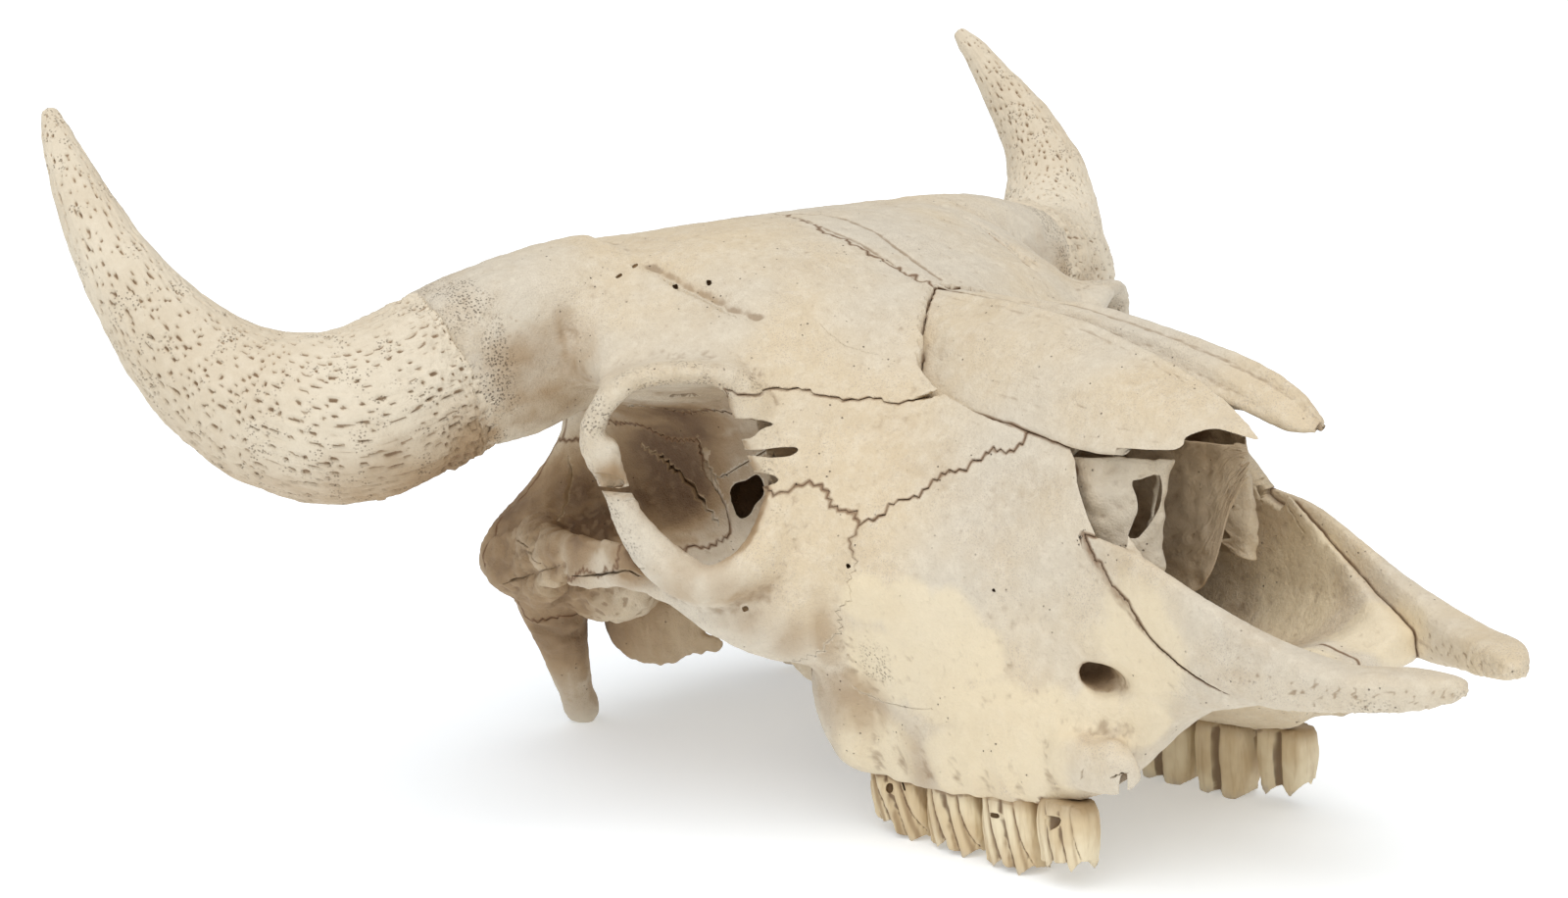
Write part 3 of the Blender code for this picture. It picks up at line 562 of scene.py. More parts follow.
# %% Marks placed by the photograph
def on_bone(px, py):
    """Where a pixel of the photograph meets the head, and the bone's normal there."""
    start = Vector(in_mm(np.array(STANDS)))
    place, normal, _, _ = head_tree.ray_cast(start, sight(px, py))
    return place, normal


def mirrored(p):
    return Vector((-p.x, p.y, p.z))


def traced(pixels):
    """A path on the head under the given pixels, as seen, and the same on the far side."""
    near = [on_bone(*pixel)[0] for pixel in pixels]
    near = [p for p in near if p]
    far = [head_tree.find_nearest(mirrored(p))[0] for p in near]
    return near, far


def distance_to(points, path):
    """Each point's distance to a path, and how far along the path its nearest place is."""
    best = np.full(len(points), 1e9)
    share = np.zeros(len(points))
    for i, (a, b) in enumerate(zip(path, path[1:])):
        a, b = np.array(a), np.array(b)
        t = np.clip((points - a) @ (b - a) / ((b - a) @ (b - a)), 0, 1)
        gap = np.linalg.norm(points - a - t[:, None] * (b - a), axis=1)
        nearer = gap < best
        best[nearer] = gap[nearer]
        share[nearer] = ((i + t) / (len(path) - 1))[nearer]
    return best, share


def press(obj, points, normals, push):
    """Moves the points along their normals by the given distances."""
    place_points(obj, points + normals * push[:, None])


def bell(gap, width):
    return np.exp(-(gap / width) ** 2)


def grain(points, size, seed, octaves=3, which=None):
    """Fractal noise of about -1 to 1 at each point, or only where which is true."""
    values = np.zeros(len(points))
    chosen = range(len(points)) if which is None else np.flatnonzero(which)
    shift = Vector((seed * 17.3, seed * 5.1, seed * 9.7))
    for i in chosen:
        values[i] = noise.fractal(Vector(points[i]) / size + shift, 1.0, 2.0, octaves)
    return values


refine(head, 1)
print("head of", len(head.data.polygons), "faces after subdivision")

# %% Relief of the head
# The first groove is the trough over the eye, where the outer layer is worn through to tan bone
GUTTER = [(666, 268), (680, 276), (700, 288), (720, 297), (744, 310), (772, 320)]
GROOVES = [(GUTTER, 4.6, 2.8),
           ([(503, 599), (530, 590), (552, 583), (575, 577)], 2.5, 2.2),
           ([(527, 633), (545, 641), (562, 645), (592, 647), (612, 643), (629, 633)], 2.8, 3.2),
           ([(680, 612), (702, 622), (726, 626), (752, 622), (778, 608)], 8, 1.6),
           ([(795, 218), (830, 228), (861, 240), (890, 255), (915, 272), (940, 287)], 1.7, 0.8),
           ([(500, 545), (512, 538), (530, 532)], 3, 2),
           ([(497, 575), (515, 566), (540, 560)], 2.5, 1.6),
           ([(850, 760), (900, 778), (980, 800), (1060, 812)], 7, 0.9)]
RIDGES = [([(520, 622), (548, 632), (592, 638), (622, 628)], 2.5, 1.2),
          ([(545, 655), (560, 662), (575, 655)], 2.2, 1.6),
          ([(880, 600), (940, 590), (1010, 580), (1080, 560)], 16, 1.0)]
ROOT_SPAN, ROOT_PITCH = (-150, -26), 16
CHEEK_KNOB = (88, -50, 84)
GUTTER_TAN, RIM_ROUGH, KNOB_ROUGH, BURR_ROUGH, BACK_ROUGH = 0.46, 0.55, 0.4, 0.42, 0.5


def relieve(obj):
    points, normals = points_of(obj), points_of(obj, "normal")
    push = 0.55 * grain(points, 16, 1, 2) + 0.24 * grain(points, 4.2, 2, 3)
    for pixels, width, depth in GROOVES:
        for path in traced(pixels):
            push -= depth * bell(distance_to(points, path)[0], width)
    for pixels, width, height in RIDGES:
        for path in traced(pixels)[:1]:
            push += height * bell(distance_to(points, path)[0], width)
    bared = np.zeros(len(points))
    for path in traced(GUTTER):
        gap, share = distance_to(points, path)
        faded = np.clip(np.minimum(8 * share, 3 - 3 * share), 0, 1)
        bared = np.maximum(bared, bell(gap, 4.5 + 4 * share) * faded)
    store(obj, "bared_and_wall_shade", GUTTER_TAN * bared)
    rough = np.zeros(len(points))
    for side in SIDES.values():
        orbit = [Vector((c[0] * side, c[1], c[2])) for c, _, _ in moved(ORBIT_RIM, orbit_shift(side))]
        knob = np.array(CHEEK_KNOB) * [side, 1, 1]
        rough = np.maximum(rough, RIM_ROUGH * bell(distance_to(points, orbit + orbit[:1])[0], 9))
        rough = np.maximum(rough, KNOB_ROUGH * bell(np.linalg.norm(points - knob, axis=1), 18))
        rough = np.maximum(rough, BURR_ROUGH * np.clip((points[:, 0] * side - 146) / 22, 0, 1))
    x, y, z = np.abs(points[:, 0]), points[:, 1], points[:, 2]
    rough = np.maximum(rough, BACK_ROUGH * np.clip((y - 185) / 20, 0, 1))
    ear = np.exp(-((y - 150) / 42) ** 2 - ((z - 92) / 30) ** 2) * (x > 55)
    push += 8 * ear * (0.3 - np.abs(grain(points, 13, 4, 3, which=ear > 0.05)))
    coarse = grain(points, 2.6, 3, 2, which=rough > 0.05)
    push += 0.75 * rough * coarse
    # The roots of the cheek teeth show as upright swellings over the tooth row
    along = np.clip(np.minimum(y - ROOT_SPAN[0], ROOT_SPAN[1] - y) / 8, 0, 1)
    push += 0.7 * along * np.exp(-((z - 38) / 14) ** 2) * np.cos(2 * math.pi * y / ROOT_PITCH) * (x > 60)
    press(obj, points, normals, push)
    store(obj, "rough", rough)


relieve(head)
print("relief pressed into", len(head.data.vertices), "points")

# %% [markdown]
# A horn core is living bone that grew inside the horn's sheath, full of channels for blood. It is a
# tapered bar, bent along measured places, with a skin fine enough to hold real pits. The pits lie in
# rows along the growth: each cell of a grid on the skin may hold one, of random length and width, drawn
# out along the core. Near the base they run together into a rough network.

# %% Horn cores
HORN_RIGHT = [((175, 127, 195), 38.5), ((190, 130, 191), 38.3), ((210, 134, 185), 38.6),
              ((228, 144, 184.5), 37.4), ((244.5, 161, 191), 33.8), ((259, 177.5, 205), 29),
              ((272.5, 192, 226.5), 22.8), ((281, 212, 255.5), 16.8), ((280, 242, 287), 11.2),
              ((276.5, 261, 307), 6.4), ((275, 267, 314), 4)]
HORN_LEFT = [((175, 127, 194), 38.5), ((189, 130, 190), 38), ((207, 137, 187), 37.3),
             ((224, 150, 188), 34.8), ((242, 167, 195), 31.4), ((259, 182, 208), 27.6),
             ((271.5, 195, 227), 22.8), ((277, 212, 249.5), 17.2), ((277.5, 233, 272), 12.4),
             ((276, 251, 292), 8), ((275, 264, 304), 4)]
HORN_UP = (0.3, -0.9, 0.3)
HORN_SINK = 0.5
HORN_ROOTS = {"right": [((158, 122, 199), 33), ((167, 124.5, 197), 37)],
              "left": [((158, 122, 194), 33), ((167, 124.5, 194), 37)]}
PIT_ROW, PIT_GAP = 7.0, 4.3
PIT_DEPTH = 1.9
PIT_SHUFFLES = [(1103515245, 12345), (22695477, 1), (69069, 362437)]
BURR_AT = 19
TUBE_AROUND = 32


def horn_frames(stations, side, spans):
    """Places along the middle of a core, with its radius and two directions square to it."""
    centres = spline([c for c, _ in stations], spans)
    radii = [p.x for p in spline([(r, 0, 0) for _, r in stations], spans)]
    centres = [Vector((c.x * side, c.y, c.z)) for c in centres]
    frames = []
    for i, centre in enumerate(centres):
        along = (centres[min(i + 1, len(centres) - 1)] - centres[max(i - 1, 0)]).normalized()
        across = along.cross(Vector((HORN_UP[0] * side, HORN_UP[1], HORN_UP[2]))).normalized()
        frames.append((centre, radii[i], along, across, across.cross(along)))
    return frames


def pits(along, turn, radius, seed):
    """How deep each place of the core's skin is pitted, from 0 to 1."""
    depth = np.zeros(len(along))
    for row_step in (-1, 0, 1):
        row = np.floor(along / PIT_ROW).astype(int) + row_step
        count = np.maximum(6, np.round(2 * math.pi * radius / PIT_GAP)).astype(int)
        place = (turn / (2 * math.pi) + 0.37 * row) % 1.0 * count
        for step in (-1, 0, 1):
            cell = np.floor(place).astype(int) + step
            key = (row * 7919 + (cell % count) * 104729 + seed * 31337) & 0xFFFFFF
            random_a, random_b, random_c = (((key * times + plus) & 0x7FFFFFFF) / 0x7FFFFFFF
                                            for times, plus in PIT_SHUFFLES)
            ahead_of = along - (row + 0.15 + 0.7 * random_a) * PIT_ROW
            beside = (place - cell - 0.15 - 0.7 * random_b) * PIT_GAP
            longer = 0.75 + 1.9 * random_c ** 2
            wide = 0.55 + 0.45 * random_a * random_b + 0.35 * (random_c < 0.1)
            far = np.sqrt((ahead_of / longer) ** 2 + (beside / wide) ** 2)
            deep = np.clip(1.7 - 1.2 * far, 0, 1) * (random_b + random_c > 0.5)
            depth = np.maximum(depth, deep * (0.55 + 0.45 * random_a))
    return depth


def horn_core(name, stations, side):
    """The core's skin. Its root lies hidden in the pedicle, so that no gap shows at the burr."""
    frames = horn_frames(stations, side, 4)

    def tube(bm):
        turns = [2 * math.pi * k / TUBE_AROUND for k in range(TUBE_AROUND)]
        skin(bm, [[centre + (across * math.cos(t) + over * math.sin(t)) * (radius - HORN_SINK) for t in turns]
                  for centre, radius, _, across, over in frames])
    obj = refine(body(name, tube, place=bones), 3)
    fine = [np.array(part) for part in zip(*horn_frames(stations, side, 20))]
    centres = fine[0]
    lengths = np.concatenate([[0], np.cumsum(np.linalg.norm(np.diff(centres, axis=0), axis=1))])
    tree = KDTree(len(centres))
    for i, centre in enumerate(centres):
        tree.insert(centre, i)
    tree.balance()
    points, normals = points_of(obj), points_of(obj, "normal")
    nearest = np.array([tree.find(p)[1] for p in points])
    reach = points - centres[nearest]
    radius, forward, across, over = (part[nearest] for part in fine[1:])
    along = lengths[nearest] + np.einsum("ij,ij->i", reach, forward)
    turn = np.arctan2(np.einsum("ij,ij->i", reach, over), np.einsum("ij,ij->i", reach, across))
    turn %= 2 * math.pi
    warp = grain(points, 22, 5 + side)
    pitted = pits(along + 2.5 * warp, turn + 0.05 * warp, radius, 3 + side)
    along = along - BURR_AT + 4 * grain(points, 15, 17, 2)
    base = np.clip(1 - along / 60, 0, 1) * np.clip((along + 8) / 10, 0, 1)
    lumps = grain(points, 3.6, 7, 2)
    under = np.clip(0.35 - normals[:, 2], 0, 1) * np.clip(1 - along / 190, 0, 1)
    drawn = np.stack([along / 16, np.sin(turn) * radius / 2.3, np.cos(turn) * radius / 2.3], axis=1)
    wrinkles = grain(drawn, 1.0, 9, 3)
    push = -PIT_DEPTH * pitted * np.clip(radius / 14, 0.35, 1) + (0.18 + 0.5 * base) * 0.6 * lumps - 0.3
    push += (0.35 + 0.9 * under + 0.4 * base) * 0.9 * wrinkles + 0.6 * grain(points, 16, 8, 2)
    push += 0.8 * bell(along - 4, 7) * (0.4 + lumps) + 2.0 * bell(along + 1, 11) * grain(points, 9, 18, 3)
    press(obj, points, normals, push)
    store(obj, "pit", pitted)
    store(obj, "rough", base)
    # The stored value is stain on the rough base, plus painted shade on the underside and on faces that turn
    # down.
    store(obj, "stain_and_shade", 0.30 * base + 0.55 * under + 0.25 * np.clip(-normals[:, 2], 0, 1))
    return obj


horns = {word: horn_core("horn_core_skin_" + word, HORN_ROOTS[word] + stations, SIDES[word])
         for word, stations in (("right", HORN_RIGHT), ("left", HORN_LEFT))}
print("triangles in a core:", triangles(horns["right"]))

# %% [markdown]
# The nasal bones are two arched strips that roof the nose and end in free tips. Each is drawn over
# three measured lines, the middle edge, the crown and the outer edge, as a plate with ragged edges, by
# bending a flat grid over them. Solidify then gives it the thickness of the real bone.

# %% Nasal bones
NASAL_RIGHT = [((1.2, -2, 222), (20, -14, 212), (41, -32, 184)),
               ((1.2, -30, 221), (25, -40, 209), (44, -54, 182.5)),
               ((2, -60, 220), (27, -64, 207), (45, -74, 181)),
               ((3.5, -92, 217), (28, -95, 204), (45, -99, 178.5)),
               ((5, -122, 210.5), (28, -124, 199), (45, -126, 174.5)),
               ((7, -148, 203.5), (27, -150, 194), (42, -152, 175)),
               ((11, -172, 196), (25, -173, 189.5), (35.5, -172, 177)),
               ((16, -190, 188.5), (23, -190, 185.5), (29, -187, 180.5)),
               ((19, -200, 182), (21.5, -200, 181.5), (24, -198, 180))]
NASAL_LEFT = [((1.2, -2, 222), (20, -14, 214), (41, -32, 184)),
              ((1.5, -30, 221), (22, -42, 214), (44, -54, 182.5)),
              ((3, -62, 215.5), (22, -66, 217.5), (45, -74, 181)),
              ((5, -94, 208), (24, -98, 213.5), (46, -100, 179)),
              ((7, -124, 200), (26, -128, 208), (46, -128, 177)),
              ((10, -152, 191), (27, -156, 201.5), (44, -154, 180)),
              ((14, -172, 184.5), (26, -176, 194.5), (38, -174, 182)),
              ((18, -186, 180.5), (25, -187, 188), (32, -184, 182.5)),
              ((21, -194, 179.5), (24, -195, 182.5), (27, -193, 181))]
NASALS = {"right": NASAL_RIGHT, "left": NASAL_LEFT}
NASAL_THICKNESS = 3.2
CLEARANCE_ABOVE, ROOM_GROWTH = 40, 0.4


def nasal_outers(stations, lengthwise, crosswise):
    """The outer face of the strip, as rows of points from the middle edge to the outer edge."""
    columns = [spline(column, lengthwise) for column in zip(*stations)]
    return [spline([medial, crown, lateral], crosswise) for medial, crown, lateral in zip(*columns)]


def plate_sections(outers, thickness, side, drop=0.0):
    """Closed sections of a plate under the given face, or of the room over it if drop is given."""
    rings = []
    for outer in outers:
        inner = []
        for k, p in enumerate(outer):
            step = outer[min(k + 1, len(outer) - 1)] - outer[max(k - 1, 0)]
            inward = Vector((step.z, 0, -step.x)).normalized() if k else Vector((0, 0, -1))
            inner.append(p + inward * thickness if not drop else p + Vector((0, 0, drop)))
        rings.append([Vector((p.x * side, p.y, p.z)) for p in outer + inner[::-1]])
    return rings


def bent_grid(bm, rows):
    """A grid of faces over rows of points. Returns its vertices."""
    made = bmesh.ops.create_grid(bm, x_segments=len(rows[0]) - 1, y_segments=len(rows) - 1, size=1)["verts"]
    for v, p in zip(made, [p for row in rows for p in row]):
        v.co = p
    return made


def plate(bm, rings):
    """A closed plate over sections whose two faces run side by side, ends capped by quads."""
    count = len(rings[0]) // 2
    outer = bent_grid(bm, [ring[:count] for ring in rings])
    inner = bent_grid(bm, [ring[count:][::-1] for ring in rings])
    edges = [e for v in outer + inner for e in v.link_edges if e.is_boundary]
    bmesh.ops.bridge_loops(bm, edges=list(set(edges)))


def ragged_outers(stations, side):
    """The outer face with a toothed root and a frayed free edge."""
    outers = nasal_outers(stations, 12, 10)
    rng = random.Random(40 + side)
    phase = rng.uniform(0, 9)
    for k, p in enumerate(outers[0]):
        p.y += (1.5 if k % 2 else -0.9) * rng.uniform(0.4, 1.3) + 1.5 * noise.noise(Vector((k / 3, 7, side)))
    for i, outer in enumerate(outers):
        share = i / (len(outers) - 1)
        ragged = noise.fractal(Vector((share * 26, side * 4, phase)), 1, 2, 3)
        last, before = outer[-1], outer[-2]
        outer[-1] = last + (last - before).normalized() * (0.8 * ragged * min(1, 4 * share))
    return outers


def nasal(name, stations, side):
    sections = plate_sections(ragged_outers(stations, side), NASAL_THICKNESS, side)
    obj = refine(body(name, lambda bm: plate(bm, sections), place=bones), 1)
    points, normals = points_of(obj), points_of(obj, "normal")
    streaks = grain(points * [1, 0.12, 1], 1.6, 11 + side, 2)
    across = points[:, 0] * side + 0.05 * (points[:, 1] + 100) + 1.5 * grain(points, 30, 13, 1)
    ridges = 1.3 * bell(across - 24, 2.2) - 1.6 * bell(across - 18.5, 2.4) + 1.1 * bell(across - 12.5, 2)
    ridges = ridges if side > 0 else 0.9 * bell(across - 5, 2.5)
    push = 0.30 * grain(points, 10, 12, 2) + 0.26 * streaks + ridges
    press(obj, points, normals, push)
    return obj


def make_room(obj, stations, side):
    """Takes from the head what would lie over the nasal bone."""
    sections = plate_sections(ragged_outers(stations, side), 0, side, CLEARANCE_ABOVE)

    def room(bm):
        plate(bm, sections)
        face_outward(bm)
        swell(bm, ROOM_GROWTH)
    cut(obj, body("nasal_room", room))


EYE = Vector(in_mm(np.array(STANDS)))


def block(bm, rings):
    skin(bm, rings)
    face_outward(bm)


def pierce(tree, pixels, before, after, turned=False):
    """A block along the line of sight round the pixels, from before the bone there to behind it."""
    outline = spline([(px, py, 0) for px, py in pixels], 3, closed=True)
    sights = [sight(p.x + 0.7 * noise.noise(p / 5), p.y + 0.7 * noise.noise(p / 5 + Vector((9, 9, 9))))
              for p in outline]
    hits = [tree.ray_cast(EYE, ray)[0] for ray in sights + [sight(*pixel) for pixel in pixels]]
    reach = sorted((hit - EYE).length for hit in hits if hit)
    reach = reach[len(reach) // 4]
    rings = [[EYE + ray * (reach + step) for ray in sights] for step in (-before, after)]
    if turned:
        rings = [[mirrored(p) for p in ring] for ring in rings]
    return body("pierced", lambda bm: block(bm, rings))


nasals = {word: nasal("nasal_strip_" + word, NASALS[word], side) for word, side in SIDES.items()}
NOTCH = [(1100, 456), (1140, 457), (1185, 459), (1200, 458), (1208, 453), (1210, 446), (1228, 439),
         (1244, 438), (1276, 447), (1290, 453), (1296, 475), (1200, 480), (1110, 475)]
for pixels in (NOTCH, [(1281, 449), (1286, 448), (1288, 452), (1284, 454)]):
    cut(nasals["right"], pierce(tree_of(nasals["right"]), pixels, 25, 14))
print("triangles in a nasal bone:", triangles(nasals["right"]))

# %% [markdown]
# Four cheek teeth are left on each side; the two smaller ones in front fell out after death. A bison's
# cheek tooth is a tall prism of folded enamel: three sharp upright ribs and two rounded ones on the
# outer wall, two lobes on the inner wall, and two crescents on the chewing face. It is drawn as a skin
# over rings whose outline carries these ribs, from the edge of the jaw to the chewing edge and back up
# into the basin between the crescents.

# %% Cheek teeth
TEETH = [("molar_3", -24, -57.5, 26, -4, 56, 11), ("molar_2", -59, -90, 27.5, -3, 54.5, 2),
         ("molar_1", -92, -122, 30, -2.5, 56, 0), ("premolar_4", -124.5, -152, 33, 4.5, 60, -4)]
CUSP_HEIGHT, BASIN_DEPTH, OUTER_CUSP_LIFT, TOOTH_OUTER = 4.5, 6, 3, 77.5
TOOTH_AROUND, TOOTH_RINGS, RIB_ROOM = 120, 34, 1.4
OUTER_RIBS = [(-0.46, 3.3, 4.3), (0.03, 3.6, 4.6), (0.47, 3.0, 4.2), (-0.22, 2.6, 4.4), (0.27, 2.4, 4.0)]
RIB_LEAN = {"molar_3": 0.30, "molar_2": 0.24, "molar_1": 0.20, "premolar_4": 0.1}

# Holes between the bared roots, on the near side
ROOT_HOLES = {"molar_3_right": [[(906, 799), (911, 800), (911, 807), (907, 809), (904, 805)],
                                [(920, 797), (922, 798), (924, 806), (922, 806)]],
              "molar_1_right": [[(1010, 829), (1018, 830), (1019, 834), (1012, 834)]],
              "premolar_4_right": [[(1056, 832), (1081, 834), (1080, 842), (1069, 848), (1062, 843)]]}


def ribs(place, length):
    """How far the outer wall stands out at a place along it, from -0.5 to 0.5: arches and valleys."""
    arches = [high * (1 - ((place - at) * length / wide) ** 2) for at, high, wide in OUTER_RIBS]
    return np.maximum.reduce(arches).clip(0)


def tooth(name, back, front, root, low, lingual, rise, side, seed):
    length, width = back - front, (TOOTH_OUTER - RIB_ROOM - lingual) / 2
    middle = (back + front) / 2
    rng = random.Random(seed)
    lean = rng.uniform(-0.6, 0.6)
    skew = next(v for k, v in RIB_LEAN.items() if name.startswith(k))

    def ring(share, spread, sunk=0.0):
        """One outline. share runs from the root, 0, to the chewing edge, 1."""
        turns = np.arange(TOOTH_AROUND) * 2 * math.pi / TOOTH_AROUND
        c, s = np.cos(turns), np.sin(turns)
        along = np.copysign(np.abs(s) ** 0.62, s) * length / 2 * spread
        across = np.copysign(np.abs(c) ** 0.62, c) * width * spread
        wall = along / length
        slope = 0.5 + wall if rise > 0 else 0.5 - wall
        edge = low + CUSP_HEIGHT * np.abs(np.cos(2 * math.pi * wall)) + abs(rise) * slope ** 2
        edge += OUTER_CUSP_LIFT * (across / width + 1) / 2
        outer = np.clip((c - 0.05) / 0.3, 0, 1)
        bulge = ribs(wall + skew * (share - 0.6), length)
        across += outer * (bulge - 3.2) * (0.6 + 0.4 * share)
        edge -= outer * (0.75 * bulge - 1.6)
        across += np.clip(-(c + 0.1) / 0.3, 0, 1) * (3.0 * np.exp(-(along / 2.6) ** 2) - 0.4)
        z = root + (edge - root) * share + sunk
        return [Vector(p) for p in zip((lingual + width + across) * side, middle + along + lean * share, z)]

    def crown(bm):
        rings = [ring(-0.12, 0.86)]
        for i in range(TOOTH_RINGS + 1):
            share = i / TOOTH_RINGS
            rings.append(ring(share, 0.90 + 0.10 * math.sin(math.pi * min(1, 0.15 + 0.9 * share))))
        rings += [ring(1, 0.90, -0.4), ring(1, 0.84, 0.3), ring(1, 0.75, 1.0), ring(1, 0.66, 1.6),
                  ring(1, 0.52, BASIN_DEPTH), ring(1, 0.3, BASIN_DEPTH + 1)]
        skin(bm, rings)
    obj = body(name, crown, place=bones)
    points, normals = points_of(obj), points_of(obj, "normal")
    streaks = grain(points * [1, 1, 0.09], 1.1, seed, 2)
    worn = np.clip(1 - (points[:, 2] - low) / 9, 0, 1)
    push = 0.30 * streaks + 0.4 * worn * grain(points, 2.2, seed + 1, 2)
    points = points + normals * push[:, None]
    points[:, 2] = np.maximum(points[:, 2], 0.02)
    place_points(obj, points)
    share = (root - points[:, 2]) / (root - low)
    outer = points[:, 0] * side > lingual + width
    height = ribs((points[:, 1] - middle) / length + skew * (share - 0.6), length)
    # Valleys between the ribs of the outer wall are painted darker: painted shade.
    store(obj, "rib_valley_shade", outer * (1.45 - 0.6 * height))
    store(obj, "worn", worn)
    store(obj, "gum", (points[:, 2] - (root - 5)) / 8)
    return obj


teeth = {}
for word, side in SIDES.items():
    for number, (kind, *shape) in enumerate(TEETH):
        teeth[f"{kind}_{word}"] = tooth(f"{kind}_crown_{word}", *shape, side, seed=60 + 10 * number + side)
for name, outlines in ROOT_HOLES.items():
    for pixels in outlines:
        cut(teeth[name], pierce(tree_of(teeth[name]), pixels, 8, 5))
print(len(teeth), "teeth of", triangles(teeth["molar_1_right"]), "triangles")

# %% [markdown]
# Three small kinds of piece are made like the rest of the head, on their own: the premaxillae, thin
# blades that spread to a rough tip; the bullae, ribbed bladders of the middle ear with a pointed
# process in front; and inside the nose the scrolls of paper-thin bone and the upright plate between.

# %% Front of the jaw and bladder of the ear
PREMAXILLA = [((54.5, -137, 143), 0.8, 1.2), ((54.6, -146, 137), 2.2, 6), ((54.2, -162, 128), 3.4, 12),
              ((51.8, -188, 113.5), 4.5, 15), ((48, -212, 103.5), 6.5, 15), ((44, -234, 99), 9, 12.5),
              ((37, -258, 98), 11, 8.5), ((27, -279, 99.5), 10.5, 7.5), ((18, -290, 100), 6, 5),
              ((14.5, -294.5, 100), 2.8, 2.6)]
BULLA_BODY = ((50, 147, 56), (9, 26, 21))
BULLA_TURN = -30
BULLA_POINT = [((43, 134, 50), 6, 9), ((38, 124, 48), 4, 6), ((33, 116, 47.5), 2, 2.5)]


def premaxilla(name, side):
    obj = body(name, lambda bm: bar(bm, PREMAXILLA, side, spans=4, around=20, squareness=3.2), place=bones)
    refine(obj, 2)
    points, normals = points_of(obj), points_of(obj, "normal")
    tip = np.clip((-205 - points[:, 1]) / 60, 0, 1)
    under = np.clip(1 - normals[:, 2] * 2, 0, 1)
    push = (0.18 + 0.6 * tip * under) * grain(points, 3.0, 21 + side, 3) - 0.3
    press(obj, points, normals, push)
    store(obj, "rough", 0.3 * tip * tip * under)
    return obj


def bulla(name, side):
    obj = body(name, lambda bm: ball(bm, BULLA_BODY, side, BULLA_TURN),
               lambda bm: bar(bm, BULLA_POINT, side, squareness=2), place=bones)
    fuse(obj, 1.2, 2)
    refine(obj, 1)
    points, normals = points_of(obj), points_of(obj, "normal")
    waves = np.cos((points[:, 1] * 0.87 + points[:, 0] * side * 0.5 + 3 * grain(points, 20, 24, 1)) / 1.2)
    low = np.clip((70 - points[:, 2]) / 20, 0, 1)
    push = 0.3 * low * waves + 0.8 * grain(points * [1, 1, 0.3], 4, 23, 2) - 0.8
    press(obj, points, normals, push)
    return obj


premaxillae = {word: premaxilla("premaxilla_blade_" + word, side) for word, side in SIDES.items()}
bullae = {word: bulla("bulla_bladder_" + word, side) for word, side in SIDES.items()}
print("triangles in a premaxilla:", triangles(premaxillae["right"]))

# %% Plates inside the nose
SCROLL = [((44, -60, 169), (46, -60, 112)), ((43, -95, 170.5), (45, -95, 112)),
          ((40, -124, 171.5), (43, -122, 114)), ((34, -142, 172.5), (37, -142, 116)),
          ((26, -153, 172), (29, -154, 118)), ((19, -152, 170), (23, -153, 120)),
          ((16, -140, 166), (19, -142, 124))]
SEPTUM = [(-64, 112, 170), (-100, 102, 171), (-136, 105, 172.5), (-152, 112, 173), (-160, 124, 173.5),
          (-168, 148, 174), (-180, 166, 174)]
SCROLL_HOLE = [(1155, 492), (1163, 489), (1183, 485), (1185, 510), (1176, 530), (1162, 548), (1151, 547),
               (1156, 534), (1161, 519), (1159, 505)]


def worn_away(rows, amount, seed):
    """The rows, each cut short at its far end by a ragged share of its length."""
    shorter = []
    for k, row in enumerate(rows):
        reach = 1 - amount * min(1, max(0, 0.5 + 1.2 * noise.fractal(Vector((k / 2.7, seed, 0)), 1, 2, 4)))
        short = []
        for i in range(len(row)):
            low = min(int(i * reach), len(row) - 2)
            short.append(row[low].lerp(row[low + 1], i * reach - low))
        shorter.append(short)
    return shorter


def all_worn(rows, amount, seed):
    """The sheet with both its free ends worn: the front ends of its rows and the foot of its columns."""
    rows = worn_away(rows, amount, seed)
    columns = worn_away([list(column)[::-1] for column in zip(*rows)], amount * 0.7, seed + 5)
    return [list(row) for row in zip(*[column[::-1] for column in columns])]


def ragged_sheet(name, rows, thickness, seed, side=1, holes=()):
    """A thin sheet bent over rows of points, with eaten edges and holes."""
    def sheet(bm):
        bent_grid(bm, [[Vector((p.x * side, p.y, p.z)) for p in row] for row in rows])
        eaten = []
        for f in bm.faces:
            p = f.calc_center_median()
            if any((p - Vector((c[0] * side, c[1], c[2]))).length < r * (1 + 0.45 * noise.noise(p / 4))
                   for c, r in holes):
                eaten.append(f)
        bmesh.ops.delete(bm, geom=eaten, context="FACES")
        for step in range(2):
            bmesh.ops.smooth_vert(bm, verts=[v for v in bm.verts if v.is_boundary], factor=0.5,
                                  use_axis_x=True, use_axis_y=True, use_axis_z=True)
    obj = body(name, sheet, place=bones)
    points, normals = points_of(obj), points_of(obj, "normal")
    push = 2.4 * grain(points, 15, seed, 3) + 0.9 * grain(points, 5, seed + 1, 3)
    press(obj, points, normals, push)
    wall = obj.modifiers.new("Wall", "SOLIDIFY")
    wall.thickness = thickness * MM
    wall.offset = 0
    wall.use_rim = True
    settle(obj)
    return refine(obj, 1)


def scroll_rows(lengthwise=8, crosswise=40):
    top = spline([t for t, _ in SCROLL], lengthwise)
    low = spline([b for _, b in SCROLL], lengthwise)
    rows = []
    for step in range(crosswise + 1):
        share = step / crosswise
        belly = 2.5 * math.sin(math.pi * share)
        rows.append([t.lerp(b, share) + Vector((belly, 0, 0)) for t, b in zip(top, low)])
    return rows


def septum_rows(lengthwise=8, crosswise=40):
    edge = spline(SEPTUM, lengthwise)
    return [[Vector((0, p.x, p.y + (p.z - p.y) * step / crosswise)) for p in edge]
            for step in range(crosswise + 1)]


